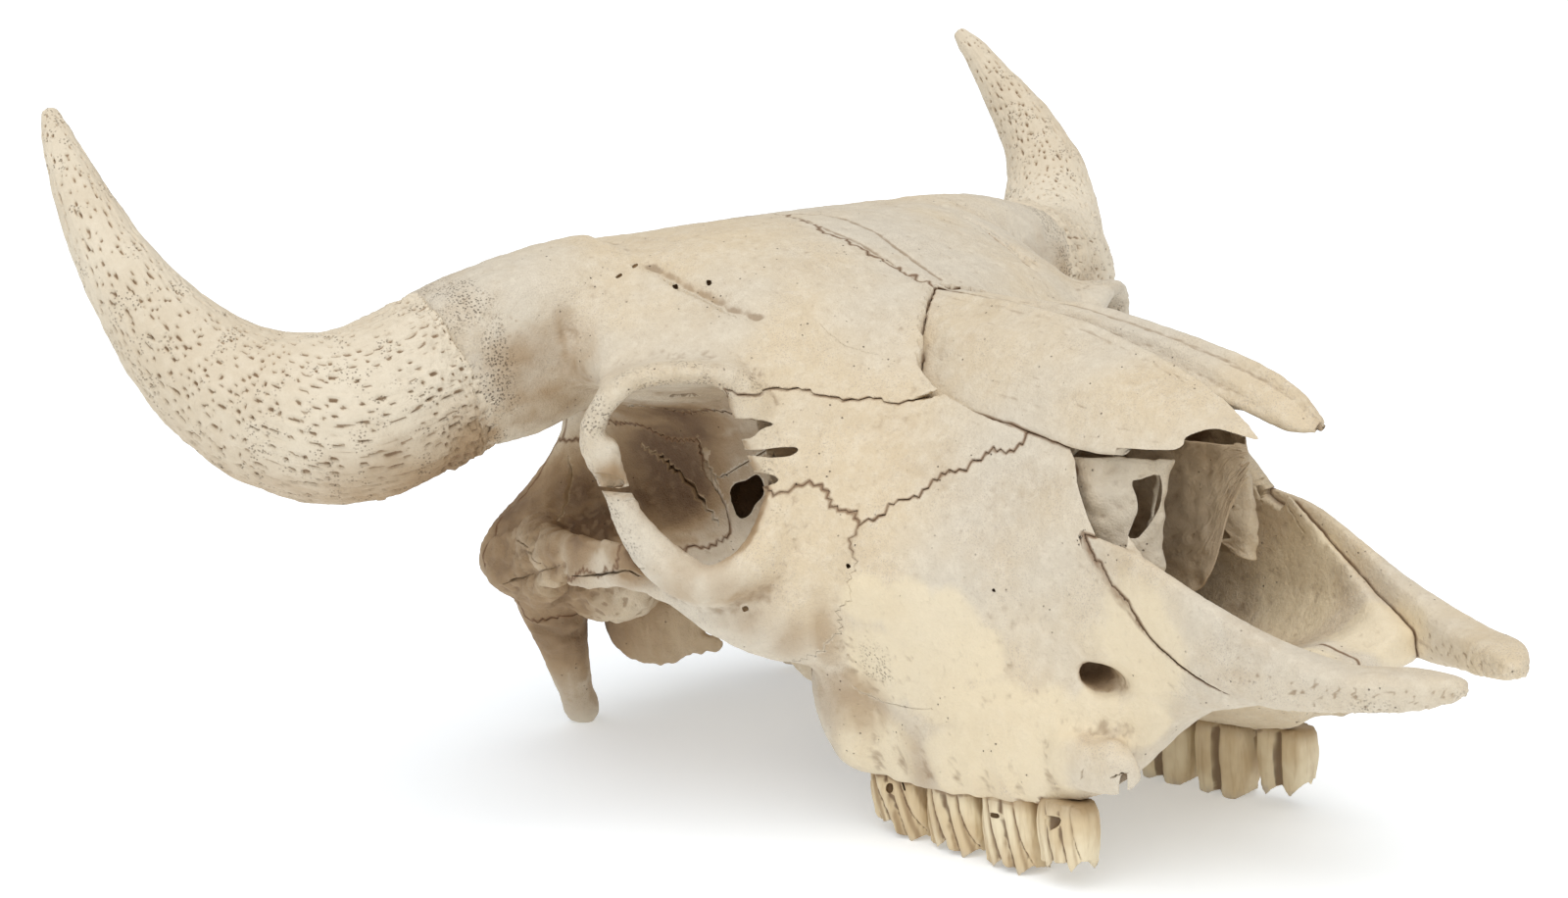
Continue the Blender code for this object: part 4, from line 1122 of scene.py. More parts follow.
SCROLL_WEAR = {"right": 0.06, "left": 0.12}
SCROLL_EATEN = {"right": [], "left": [((30, -146, 152), 4), ((44, -100, 125), 5)]}
SCROLL_THICKNESS, SEPTUM_THICKNESS = 1.1, 1.4
scrolls = {}
for word, side in SIDES.items():
    seed = 30 + side
    worn = all_worn(scroll_rows(), SCROLL_WEAR[word], seed)
    scrolls[word] = ragged_sheet("turbinate_scroll_" + word, worn, SCROLL_THICKNESS, seed, side,
                                 SCROLL_EATEN[word])
cut(scrolls["right"], pierce(tree_of(scrolls["right"]), SCROLL_HOLE, 12, 12))
divider = ragged_sheet("vomer_plate", worn_away(septum_rows(), 0.13, 36), SEPTUM_THICKNESS, 35,
                       holes=[((0, -110, 160), 4)])
print("triangles in a scroll:", triangles(scrolls["right"]))

# %% [markdown]
# Sutures are where two bones meet in a line of fine teeth. Each bone is cut out of the head by a block
# whose outline, seen from the side, follows the suture with a seeded zigzag, and the head then loses a
# slightly larger block, so that a hairline gap stays. Two neighbours share the same corners of their
# outlines, so they get the same teeth.

# %% Outlines of the sutures
FRONTAL_OUTLINE = [(-80, 300), (-80, 200), (-33, 184), (-14, 188.5), (4, 196), (14, 176), (26, 157.5),
                   (52, 157.5), (62, 168), (112, 170), (150, 176), (186, 212), (230, 236), (230, 300)]
LACRIMAL_OUTLINE = [(-33, 184), (-14, 188.5), (4, 196), (14, 176), (24, 152), (0, 151.5), (-24, 154),
                    (-44, 139), (-57, 149.5), (-78, 165.5), (-98, 173), (-100, 186), (-72, 190)]
ZYGOMATIC_OUTLINE = [(-44, 139), (-24, 154), (0, 151.5), (24, 152), (26, 157.5), (52, 157.5), (50, 116),
                     (60, 113.5), (97, 104.2), (112, 101), (112, 88), (40, 84), (24, 72), (2, 62),
                     (-34, 90), (-46, 113)]
TEMPORAL_OUTLINE = [(36, 119), (36, 140), (60, 140), (96, 150), (150, 156), (187, 140), (187, 62),
                    (128, 62), (112, 76), (112, 101), (97, 104.2), (60, 113.5), (50, 116)]
MAXILLA_OUTLINE = [(-330, 300), (-330, -10), (8, -10), (8, 58), (2, 62), (-34, 90), (-46, 113),
                   (-44, 139), (-57, 149.5), (-78, 165.5), (-98, 173), (-98, 300)]
PALATINE_OUTLINE = [(-46, 10), (-46, 66), (-10, 84), (96, 86), (118, 60), (118, 0), (-14, 0)]
OCCIPITAL_OUTLINE = [(128, -10), (128, 88), (160, 92), (182, 108), (182, 212), (196, 260), (260, 260),
                     (260, -10)]
SEAM, SUTURE_WALL_DARKNESS = 0.55, 0.7
TOOTH_PITCH = 1.7
FLAT_ABOVE = 175
OUTSIDE = 260
MIDLINE = [(0, 235), (0.5, 190), (0, 150), (-0.5, 101), (-6, 85), (-11, 71), (-13.9, 49), (-11.1, 33),
           (-8.6, 20.5), (-5.2, 9), (-4, -3), (-1, -18), (0, -84)]
PAIRED_BONES = [("zygomatic", ZYGOMATIC_OUTLINE, 84, OUTSIDE, 0.18),
                ("lacrimal", LACRIMAL_OUTLINE, 24, OUTSIDE, SEAM),
                ("temporal", TEMPORAL_OUTLINE, 57, OUTSIDE, 0.35),
                ("palatine", PALATINE_OUTLINE, 0.2, 44, 0.3),
                ("maxilla", MAXILLA_OUTLINE, 0.2, OUTSIDE, 0.35)]


def toothed(outline, depth=1.2):
    """The outline with a zigzag along each side. A side gets the same zigzag from either of its ends."""
    done = []
    for a, b in zip(outline, outline[1:] + outline[:1]):
        low, high = sorted((a, b))
        rng = random.Random(int(low[0] * 31 + low[1] * 17 + high[0] * 7 + high[1] * 3))
        length = math.dist(low, high)
        steps = max(1, int(length / TOOTH_PITCH)) if length < 70 else 1
        calm = 0.45 if low[1] + high[1] > FLAT_ABOVE * 2 else 1
        across = ((low[1] - high[1]) / length, (high[0] - low[0]) / length)
        side = []
        for i in range(1, steps):
            share = (i + rng.uniform(-0.25, 0.25)) / steps
            tooth_out = depth * rng.uniform(0.25, 1) * (1 if i % 2 else -1)
            out = calm * (tooth_out + 1.6 * math.sin(share * 9 + low[0]))
            side.append((low[0] + (high[0] - low[0]) * share + across[0] * out,
                         low[1] + (high[1] - low[1]) * share + across[1] * out))
        done += [a] + (side if a == low else side[::-1])
    return done


def wall_tinted(solids, wall_darkness):
    """The solids, with the tint of the walls that they will leave: tan at low values, and at high values
    painted shade, the dark inside cracks, holes and seams.
    """
    for solid in solids:
        store(solid, "bared_and_wall_shade", np.full(len(solid.data.vertices), wall_darkness))
    return solids


def prism(name, outline, span, side=1, grow=0.0, upright=False):
    """A block with the outline, seen from the side, over the span of X, or seen from above, over Z."""
    bm = bmesh.new()
    low, high = sorted((span[0] * side, span[1] * side))
    corners = [(a, b, low) if upright else (low, a, b) for a, b in outline]
    face = bm.faces.new([bm.verts.new(corner) for corner in corners])
    top = bmesh.ops.extrude_face_region(bm, geom=[face])["geom"]
    ends = [v for v in top if isinstance(v, bmesh.types.BMVert)]
    bmesh.ops.translate(bm, verts=ends, vec=(0, 0, high - low) if upright else (high - low, 0, 0))
    bmesh.ops.recalc_face_normals(bm, faces=bm.faces)
    if grow:
        swell(bm, grow)
    bmesh.ops.triangulate(bm, faces=bm.faces)
    made = finish_mesh(bm, name, helpers)
    return wall_tinted([made], SUTURE_WALL_DARKNESS)[0]


def keep_largest(obj):
    """Leaves only the largest closed surface of the mesh."""
    bm = bmesh.new()
    bm.from_mesh(obj.data)
    bm.verts.ensure_lookup_table()
    waiting = set(bm.verts)
    largest = []
    while waiting:
        first = waiting.pop()
        found, front = [first], [first]
        while front:
            v = front.pop()
            for e in v.link_edges:
                other = e.other_vert(v)
                if other in waiting:
                    waiting.remove(other)
                    found.append(other)
                    front.append(other)
        if len(found) > len(largest):
            found, largest = largest, found
        bmesh.ops.delete(bm, geom=found, context="VERTS")
    bm.to_mesh(obj.data)
    bm.free()


print("a suture of", len(FRONTAL_OUTLINE), "corners becomes one of", len(toothed(FRONTAL_OUTLINE)))

# %% [markdown]
# Before the bones are cut apart, room is made for the pieces that sit in the head, and the underside
# is levelled where it would pass the floor. The edge of the jaw over the teeth is scalloped, one arch
# for each root.

# %% Room for teeth, nasal bones and plates
FLOOR = 0.0
GUTTER_SPAN = (50, 90)
NASAL_ROOM, PREMAXILLA_ROOM, BULLA_ROOM = 0.45, 0.5, 0.3
FAR = 400


def gutter_outline():
    """The outline, from the side, of the room for the crowns under the scalloped edge of the jaw."""
    backs, fronts, roots = zip(*[t[1:4] for t in TEETH])
    ends = [backs[0] + 1.2] + [(f + b) / 2 for f, b in zip(fronts, backs[1:])] + [fronts[-1] - 1.2]
    outline = [(ends[0], FLOOR - 20)]
    for root, near, far in zip(roots, ends, ends[1:]):
        steps = 16
        for i in range(steps + 1):
            share = min(max(i / steps, 0.001), 0.999)
            arch = 1.6 * abs(math.sin(2 * math.pi * share)) - 1.4
            rough = 0.9 * noise.noise(Vector((near + (far - near) * share, 3.1, 0)) / 2.3)
            outline.append((near + (far - near) * share, root + arch + rough))
    return outline + [(ends[-1], FLOOR - 20)]


slab = [(-FAR, FLOOR - 60), (-FAR, FLOOR), (FAR, FLOOR), (FAR, FLOOR - 60)]
cut(head, prism("floor_cut", slab, (-FAR, FAR)))
for word, side in SIDES.items():
    cut(head, prism("gutter", gutter_outline(), GUTTER_SPAN, side))
    make_room(head, NASALS[word], side)
    for piece, space in ((nasals, NASAL_ROOM), (premaxillae, PREMAXILLA_ROOM), (bullae, BULLA_ROOM)):
        cut(head, swollen(piece[word], space))
print("head of", triangles(head), "triangles with its rooms")

# %% [markdown]
# Time leaves its marks as openings: cracks where the bone dried, holes for vessels, and broken edges.
# Each is a small solid. A crack is a thin wedge under a line that is traced on the photograph; a hole is
# a block along the line of sight. All of them are joined into one cutter, so that the head is cut once.

# %% Cracks and holes
CRACKS = [([(655, 455), (665, 460), (676, 467), (684, 475), (693, 482), (712, 505), (726, 524), (735, 535)],
           1.3, 4, 1.2),
          ([(712, 444), (714, 455), (716, 465), (723, 476), (729, 486), (733, 499)], 1.0, 4, 0.8),
          ([(731, 487), (742, 484), (752, 478), (766, 468)], 0.7, 3, 0.6),
          ([(579, 465), (582, 486), (577, 512), (568, 532)], 1.2, 5, 0.5),
          ([(503, 598), (515, 594), (530, 590), (552, 583), (575, 577)], 0.8, 4, 0.4),
          ([(529, 550), (540, 560), (552, 575)], 0.5, 3, 0.4),
          ([(584, 588), (610, 586), (635, 583), (657, 579)], 0.9, 4, 0.3),
          ([(478, 451), (488, 444), (497, 438), (507, 433)], 1.2, 7, 0.4),
          ([(1105, 784), (1103, 796), (1107, 816)], 0.5, 4, 0.4),
          ([(1133, 794), (1142, 790), (1152, 789)], 0.6, 4, 0.3),
          ([(1304, 500), (1316, 520), (1330, 545)], 0.5, 3, 0.5),
          ([(868, 700), (900, 716), (950, 724)], 0.35, 1.6, 0.5),
          ([(700, 205), (740, 222), (790, 232)], 0.3, 1.4, 0.4),
          ([(836, 330), (862, 352), (900, 362)], 0.3, 1.2, 0.4)]
# The step in the trough over the eye
LEDGE = [(670, 277), (679, 284), (689, 292), (703, 298), (716, 303), (728, 310), (742, 319), (752, 323)]
# How dark the walls of each mark are painted: the highest value gives the painted shade inside a crack or
# hole, the lowest only a tan edge.
DARKEST_WALL, PALE_EDGE = 1.0, 0.3
HOLES = [([(721, 286), (725, 286), (726, 290), (722, 291)], 4, 6, DARKEST_WALL),
         ([(686, 291), (691, 290), (692, 294), (688, 295)], 4, 8, DARKEST_WALL),
         ([(628, 283), (633, 279), (635, 281), (630, 284)], 3, 4, 0.6),
         ([(645, 272), (650, 269), (651, 271), (647, 274)], 3, 4, 0.6),
         ([(639, 612), (648, 604), (661, 606), (665, 619), (655, 630), (642, 627)], 8, 18, DARKEST_WALL),
         ([(745, 503), (749, 494), (761, 490), (772, 484), (779, 492), (779, 505), (771, 514), (764, 526),
           (754, 528), (748, 516)], 8, 32, DARKEST_WALL),
         ([(684, 403), (700, 399), (714, 404), (722, 414), (716, 421), (702, 418), (688, 411)], 4, 4.5, 0.5),
         ([(590, 494), (612, 496), (646, 500), (647, 503), (620, 501), (592, 498)], 16, 18, 0.8),
         ([(607, 482), (620, 484), (635, 489), (635, 497), (620, 496), (608, 494)], 16, 2.5, 0.7),
         ([(1092, 444), (1097, 470), (1099, 492), (1107, 520), (1117, 545), (1121, 554), (1150, 558),
           (1150, 444)], 22, 22, PALE_EDGE),
         ([(742, 429), (760, 427), (778, 429), (789, 433), (777, 438), (765, 447), (744, 447)],
          14, 12, PALE_EDGE),
         ([(752, 459), (772, 459), (790, 457), (810, 456), (814, 460), (806, 465), (788, 467), (770, 465),
           (752, 464)], 14, 12, PALE_EDGE),
         ([(752, 483), (775, 482), (791, 486), (793, 491), (780, 496), (754, 495)], 14, 12, PALE_EDGE),
         ([(1098, 818), (1123, 819), (1141, 818), (1142, 804), (1144, 791), (1150, 790), (1151, 808),
           (1161, 809), (1164, 860), (1100, 860)], 30, 30, PALE_EDGE),
         ([(863, 576), (866, 575), (868, 578), (865, 580)], 4, 5, DARKEST_WALL),
         ([(757, 620), (762, 618), (764, 622), (759, 624)], 4, 5, 0.7),
         ([(1012, 602), (1014, 600), (1016, 603), (1014, 604)], 3, 4, DARKEST_WALL)]


def crack(pixels, half_width, depth, zigzag, seed, ledge=0.0):
    """Thin wedges under a traced line, on the near and on the far side. A ledge widens the upper side."""
    wedges = []
    for path in traced(pixels):
        if len(path) < 2:
            continue
        fine = spline(path, 3)
        last = len(fine) - 1
        rng = random.Random(seed)
        rings = []
        for i, p in enumerate(fine):
            place, normal, _, _ = head_tree.find_nearest(p)
            step = fine[min(i + 1, last)] - fine[max(i - 1, 0)]
            across = step.cross(normal).normalized()
            place += across * zigzag * rng.uniform(0.5, 1) * (1 if i % 2 else -1)
            taper = min(1, 0.25 + 3 * i / last, 0.25 + 3 * (last - i) / last)
            wide = half_width * rng.uniform(0.6, 1.1) * taper
            rings.append([place + normal * 2 + across * wide * 1.5,
                          place + normal * 2 - across * (wide * 1.5 + ledge * wide / half_width),
                          place - normal * depth * wide / half_width])
        wedges.append(body("crack", lambda bm: block(bm, rings)))
    return wedges


marks = []
for number, (pixels, half_width, depth, zigzag) in enumerate(CRACKS):
    marks += wall_tinted(crack(pixels, half_width, depth, zigzag, number), DARKEST_WALL)
marks += wall_tinted(crack(LEDGE, 0.9, 8, 0.5, 99, ledge=1.2), DARKEST_WALL)
for pixels, before, after, wall_darkness in HOLES:
    marks += wall_tinted([pierce(head_tree, pixels, before, after, turned) for turned in (False, True)], wall_darkness)
all_marks = marks[0]
for mark in marks[1:]:
    combine(all_marks, mark, "UNION")
    remove(mark)
print(len(marks), "marks of", triangles(all_marks), "triangles")
cut(head, all_marks)
print("head of", triangles(head), "triangles with its marks")

# %% [markdown]
# Now the bones are cut apart, in the order in which their outlines overlap, and each takes what is left
# of the head inside its own. The two bones of the forehead are taken out as one and then parted along
# their own suture, which wanders to the animal's right before it comes back to the nose.

# %% Cutting the bones apart
def carve(name, outline, span, side, gap):
    inside = prism(name + "_inside", outline, span, side)
    around = prism(name + "_around", outline, span, side, grow=gap)
    bone = duplicate(head, name, bones)
    combine(bone, inside, "INTERSECT")
    keep_largest(bone)
    remove(inside)
    cut(head, around)
    return bone


carved = {}
forehead = carve("forehead", toothed(FRONTAL_OUTLINE), (-OUTSIDE, OUTSIDE), 1, SEAM)
for word, side in SIDES.items():
    outline = toothed(MIDLINE + [(OUTSIDE * side, -90), (OUTSIDE * side, 240)])
    half = prism("half", outline, (100, 300), grow=-0.1, upright=True)
    bone = duplicate(forehead, f"frontal_bone_{word}", bones)
    combine(bone, half, "INTERSECT")
    remove(half)
    keep_largest(bone)
    carved["frontal_" + word] = bone
remove(forehead)
for word, side in SIDES.items():
    for kind, outline, near, far, gap in PAIRED_BONES:
        shape = toothed(outline)
        carved[f"{kind}_{word}"] = carve(f"{kind}_bone_{word}", shape, (near, far), side, gap)
carved["occipital"] = carve("occipital_bone", toothed(OCCIPITAL_OUTLINE), (-OUTSIDE, OUTSIDE), 1, 0.15)
head.name = "braincase_bone"
helpers.objects.unlink(head)
bones.objects.link(head)
keep_largest(head)
carved["braincase"] = head
print({name: triangles(bone) for name, bone in carved.items()})

# %% [markdown]
# The dark line of a suture and the darkening in every dent, grime and painted shade together, come from two
# more attributes: how near a point is to the cut wall of its bone, and how deep it lies below its neighbours.

# %% Edges and dents
def hollowness(obj):
    """How far each point lies below the mean of its neighbours, over a few rings."""
    mesh = obj.data
    count = len(mesh.vertices)
    ends = np.empty(len(mesh.edges) * 2, np.int32)
    mesh.edges.foreach_get("vertices", ends)
    a, b = ends.reshape(-1, 2).T
    points, normals = points_of(obj), points_of(obj, "normal")
    degree = np.maximum(np.bincount(a, minlength=count) + np.bincount(b, minlength=count), 1)

    def mean(values):
        total = np.stack([np.bincount(a, values[b, k], count) + np.bincount(b, values[a, k], count)
                          for k in range(values.shape[1])], axis=1)
        return total / degree[:, None]
    soft = points
    for step in range(3):
        soft = mean(soft)
    return np.einsum("ij,ij->i", soft - points, normals)


everything = [*carved.values(), *horns.values(), *nasals.values(), *premaxillae.values(), *bullae.values(),
              *scrolls.values(), divider, *teeth.values()]
NEAR = 2.2


def seams(objects):
    """Stores on each piece how near its points are to another piece: 1 in contact, 0 beyond NEAR."""
    clouds = [points_of(obj) for obj in objects]
    owner = np.repeat(np.arange(len(objects)), [len(c) for c in clouds])
    tree = KDTree(len(owner))
    for i, p in enumerate(np.concatenate(clouds)):
        tree.insert(p, i)
    tree.balance()
    for own, (obj, cloud) in enumerate(zip(objects, clouds)):
        near = [min((gap for _, i, gap in tree.find_range(p, NEAR) if owner[i] != own), default=NEAR)
                for p in cloud]
        store(obj, "seam", 1.25 - np.array(near) / NEAR * 1.25)


for obj in everything:
    store(obj, "dent", 0.5 + 1.2 * hollowness(obj))
seams([obj for obj in everything if obj not in horns.values()])
print("dents and seams measured")

# %% [markdown]
# Materials are node trees, but they read better as sums. A small class wraps a socket, so that an
# expression such as 1 - mask adds its Math node, and one method adds any other node from its type, its
# settings and the values or links of its sockets.

# %% Sums of sockets
class Value:
    """A number that varies over a surface."""

    def __init__(self, look, socket):
        self.look = look
        self.socket = socket

    def math(self, operation, *values):
        return self.look.node("ShaderNodeMath", {"operation": operation}, dict(enumerate(values)))

    def __add__(self, other):
        return self.math("ADD", self, other)

    def __sub__(self, other):
        return self.math("SUBTRACT", self, other)

    def __rsub__(self, other):
        return self.math("SUBTRACT", other, self)

    def __mul__(self, other):
        return self.math("MULTIPLY", self, other)

    def larger(self, other):
        return self.math("MAXIMUM", self, other)

    def step(self, low, high):
        """0 below low, 1 above high, and smooth between."""
        return self.look.node("ShaderNodeMapRange", {"interpolation_type": "SMOOTHSTEP"},
                              {"Value": self, "From Min": low, "From Max": high})

    __radd__ = __add__
    __rmul__ = __mul__


class Look:
    """A material whose nodes are made by expressions."""

    def __init__(self, name):
        self.material = bpy.data.materials.new(name)
        self.material.use_nodes = True
        self.tree = self.material.node_tree
        self.shader = self.tree.nodes["Principled BSDF"]
        self.place = self.node("ShaderNodeTexCoord", output="Object")

    def node(self, kind, settings=None, inputs=None, output=0):
        made = self.tree.nodes.new(kind)
        for key, value in (settings or {}).items():
            setattr(made, key, value)
        for key, value in (inputs or {}).items():
            self.feed(made.inputs[key], value)
        return Value(self, made.outputs[output])

    def feed(self, socket, value):
        if isinstance(value, Value):
            self.tree.links.new(value.socket, socket)
        else:
            socket.default_value = value

    def attribute(self, name):
        return self.node("ShaderNodeAttribute", {"attribute_name": name}, output="Fac")

    def cloud(self, scale, detail=3.0, rough=0.5, at=None):
        return self.node("ShaderNodeTexNoise", None, {"Vector": at or self.place, "Scale": scale,
                                                      "Detail": detail, "Roughness": rough})

    def cells(self, scale):
        return self.node("ShaderNodeTexVoronoi", None, {"Vector": self.place, "Scale": scale}, "Distance")

    def stretched(self, factors):
        return self.node("ShaderNodeVectorMath", {"operation": "MULTIPLY"}, {0: self.place, 1: factors})

    def blend(self, share, below, above):
        """One colour over another, by a share from 0 to 1."""
        return self.node("ShaderNodeMix", {"data_type": "RGBA"}, {0: share, 6: below, 7: above}, output=2)

    def tinted(self, colour, *tints):
        """The colour with each tint laid on where its attribute rises from low to high."""
        for name, low, high, share, tint in tints:
            colour = self.blend(self.attribute(name).step(low, high) * share, colour, tint)
        return colour

    def finish(self, colour, roughness, height, strength, distance):
        self.feed(self.shader.inputs["Base Color"], colour)
        self.feed(self.shader.inputs["Roughness"], roughness)
        bump = self.node("ShaderNodeBump", None,
                         {"Strength": strength, "Distance": distance, "Height": height}, output="Normal")
        self.feed(self.shader.inputs["Normal"], bump)
        return self.material


print("half a mask:", (1 - Look("trial").cloud(5) * 0.5).socket.node.operation)
bpy.data.materials.remove(bpy.data.materials["trial"])

# %% [markdown]
# Dry bone is matt ivory with three layers of colour: broad drifts between a cool chalky grey and a warm
# cream, a fine grey speckle where the outer layer has weathered, and brown in sheltered places, dents and
# sutures, partly stain and partly painted shade. Where the outer layer is whole the bone is smoother and
# yellower. Pinholes, where small vessels entered, are cells of a Voronoi pattern, painted dark as the shade
# inside each hole.

# %% Bone
def rgb(r, g, b):
    return (r, g, b, 1)


# The darker colours below serve both brown stain and painted shade: in sheltered places, dents, pinholes and
# the walls of cracks and holes.
CHALK, IVORY, CREAM = rgb(0.66, 0.58, 0.46), rgb(0.70, 0.57, 0.39), rgb(0.83, 0.70, 0.48)
SPECK, TAN, DEEP = rgb(0.40, 0.33, 0.28), rgb(0.36, 0.23, 0.115), rgb(0.12, 0.062, 0.028)
PALE, BROWN, HOLE_SHADE = rgb(0.85, 0.76, 0.61), rgb(0.22, 0.115, 0.05), rgb(0.09, 0.05, 0.025)
CLAY, ASH, GRIME_AND_SHADE = rgb(0.52, 0.39, 0.24), rgb(0.46, 0.37, 0.27), rgb(0.30, 0.20, 0.115)
BARED, CLEFT_SHADE = rgb(0.47, 0.32, 0.17), rgb(0.11, 0.06, 0.028)
BONE_BUMP, ENAMEL_BUMP = (0.8, 0.0016), (0.45, 0.0010)


def browned_and_shaded(look, colour, extra_shade):
    """The colour, browned where the bone is stained and darkened by painted shade where it is sheltered or
    given extra shade.
    """
    shade = look.attribute("shelter") * 1.1 + look.attribute("stain_and_shade") - look.attribute("warm") * 0.4
    shade = shade + look.cloud(40, 5, 0.6) * 0.6 - 0.44 + extra_shade
    # TAN and DEEP lay on brown stain together with painted shade in sheltered places and on pieces given
    # extra shade.
    colour = look.blend(shade.step(0.0, 0.75) * 0.92, colour, TAN)
    return look.blend(shade.step(0.55, 1.25) * 0.85, colour, DEEP)


def bone_look(name, warmth=0.0, extra_shade=0.0):
    look = Look(name)
    colour = look.blend(look.cloud(9, 4).step(0.38, 0.62), CHALK, IVORY)
    colour = look.blend(look.cloud(24, 6, 0.65).step(0.50, 0.72) * 0.45, colour, CLAY)
    mottle = look.cloud(160, 5, 0.7)
    colour = look.blend(mottle.step(0.40, 0.72) * 0.38, colour, PALE)
    fibres = look.cloud(420, 4, 0.7)
    colour = look.blend(fibres.step(0.52, 0.74) * 0.30, colour, ASH)
    warm = (look.attribute("warm") + look.cloud(30, 6, 0.6) * 0.9 - 0.45 + warmth).step(0.34, 0.64)
    colour = look.blend(warm * (0.45 + look.cloud(55, 4) * 0.4), colour, CREAM)
    speck = look.cloud(1500, 2).step(0.54, 0.68) * look.cloud(35, 3).step(0.40, 0.66) * (1 - warm * 0.8)
    colour = look.blend(speck * 0.50, colour, SPECK)
    # Pinholes and pores are painted dark: painted shade inside each hole.
    hole = (1 - look.cells(240).step(0.05, 0.12)) * look.cloud(48, 2).step(0.52, 0.62)
    rough = look.attribute("rough")
    pores = (1 - look.cells(820).step(0.16, 0.42)) * (rough * 1.4 + look.cloud(60, 3) - 0.90).step(0.0, 0.4)
    holes = hole.larger(pores * 0.8)
    colour = browned_and_shaded(look, colour, extra_shade)
    # Dents are darkened by grime and painted shade.
    colour = look.tinted(colour, ("dent", 0.54, 0.85, 0.7, GRIME_AND_SHADE))
    colour = look.blend(holes * 0.75, colour, HOLE_SHADE)
    seam = (look.attribute("seam") * (0.45 + look.cloud(110, 3) * 0.95)).step(0.30, 0.95)
    colour = look.blend(seam * 0.85, colour, BROWN)
    # Tan where the bone is bared, and painted shade on the walls of cracks, holes and sutures.
    colour = look.tinted(colour, ("bared_and_wall_shade", 0.3, 0.65, 0.7, BARED), ("bared_and_wall_shade", 0.62, 1.0, 0.9, CLEFT_SHADE))
    roughness = 0.68 - warm * 0.16 + mottle * 0.12
    height = mottle * 0.6 + fibres * 0.4 + look.cloud(1100, 3) * 0.25 * (1 - warm * 0.7) - holes * 1.1
    height = height + look.cloud(330, 3, 0.7) * rough * 0.9
    return look.finish(colour, roughness, height, *BONE_BUMP)


CORE_DARK, CORE_LIGHT, CORE_PALE = rgb(0.66, 0.55, 0.40), rgb(0.74, 0.64, 0.49), rgb(0.86, 0.77, 0.62)
CORE_PIT_SHADE, CORE_DENT, CORE_PORE_SHADE = rgb(0.27, 0.165, 0.085), rgb(0.28, 0.18, 0.10), rgb(0.27, 0.18, 0.10)


def horn_look(name):
    look = Look(name)
    drift = look.cloud(14, 4).step(0.35, 0.65)
    colour = look.blend(drift, CORE_DARK, CORE_LIGHT)
    mottle = look.cloud(190, 5, 0.65)
    colour = look.blend(mottle.step(0.4, 0.75) * 0.3, colour, CORE_PALE)
    fine = (1 - look.cells(700).step(0.14, 0.34)) * look.cloud(90, 2).step(0.50, 0.66)
    colour = browned_and_shaded(look, colour, -0.05)
    # Pits and dents are painted darker as painted shade inside them, and so are the fine pores below.
    colour = look.tinted(colour, ("pit", 0.25, 0.85, 0.75, CORE_PIT_SHADE), ("dent", 0.60, 1.0, 0.6, CORE_DENT))
    colour = look.blend(fine * 0.5, colour, CORE_PORE_SHADE)
    height = mottle * 0.5 - fine * 0.8 + look.cloud(800, 2) * 0.2
    height = height + look.cloud(330, 3, 0.7) * look.attribute("rough") * 0.9
    return look.finish(colour, 0.70 + mottle * 0.1, height, *BONE_BUMP)


AMBER, HONEY, STREAK = rgb(0.68, 0.53, 0.32), rgb(0.82, 0.70, 0.48), rgb(0.42, 0.27, 0.12)
WORN, GUM, GROOVE_SHADE = rgb(0.50, 0.44, 0.38), rgb(0.28, 0.16, 0.07), rgb(0.30, 0.185, 0.085)
CREVICE_SHADE = rgb(0.15, 0.08, 0.03)


def tooth_look(name):
    look = Look(name)
    streak = look.cloud(260, 4, 0.6, at=look.stretched((1, 1, 0.1)))
    colour = look.blend(look.cloud(45, 3).step(0.35, 0.65), AMBER, HONEY)
    colour = look.blend(streak.step(0.45, 0.75) * 0.45, colour, STREAK)
    worn = look.attribute("worn").step(0.15, 0.95) * look.cloud(140, 3).step(0.35, 0.6)
    colour = look.blend(worn * 0.75, colour, WORN)
    # The valleys between the ribs and the dents between the columns are given painted shade.
    colour = look.tinted(colour, ("gum", 0.1, 0.9, 0.45, GUM), ("rib_valley_shade", 0.2, 0.95, 0.7, GROOVE_SHADE),
                         ("dent", 0.55, 0.95, 0.85, CREVICE_SHADE), ("seam", 0.3, 0.9, 0.6, BROWN))
    height = streak * 0.6 + look.cloud(700, 2) * 0.15
    return look.finish(colour, 0.36 + streak * 0.2, height, *ENAMEL_BUMP)


bone = bone_look("bone")
nasal_bone = bone_look("nasal_bone", warmth=0.22)
# Darker copies of the bone for pieces that lie in shade: a little painted shade inside the nose, and more for
# the bladders of the ear under the skull.
inner_bone = bone_look("inner_bone", extra_shade=0.05)
shaded_ear_bone = bone_look("shaded_ear_bone", warmth=-0.2, extra_shade=0.5)
core_bone = horn_look("core_bone")
enamel = tooth_look("enamel")
print("materials:", [m.name for m in bpy.data.materials])

# %% [markdown]
# Where the outer layer of the real bone is whole, it is smooth and yellow: over the side of the jaw, on the
# nasal bones and under the horn. These patches are marked from the photograph and mirrored, and so are the
# brown patches in the sockets, on the cheek and under the jaw. These brown patches are partly real stain and
# partly painted shade on the sides and hollows that turn away from the light. The back wall of each eye
# socket and the plates deep in the nose get painted shade of their own. Where a suture is faint in the
# photograph, a third list of patches pales it.

# %% Warm patches, stains and painted shade
WARM_SPOTS = [((885, 612), 14), ((925, 627), 17), ((968, 640), 17), ((998, 668), 15), ((950, 690), 26),
              ((900, 680), 24), ((1010, 737), 22), ((1075, 737), 16), ((1120, 724), 12), ((1165, 738), 12),
              ((1060, 785), 24), ((980, 790), 26), ((900, 760), 26), ((1330, 600), 30), ((1400, 640), 22)]
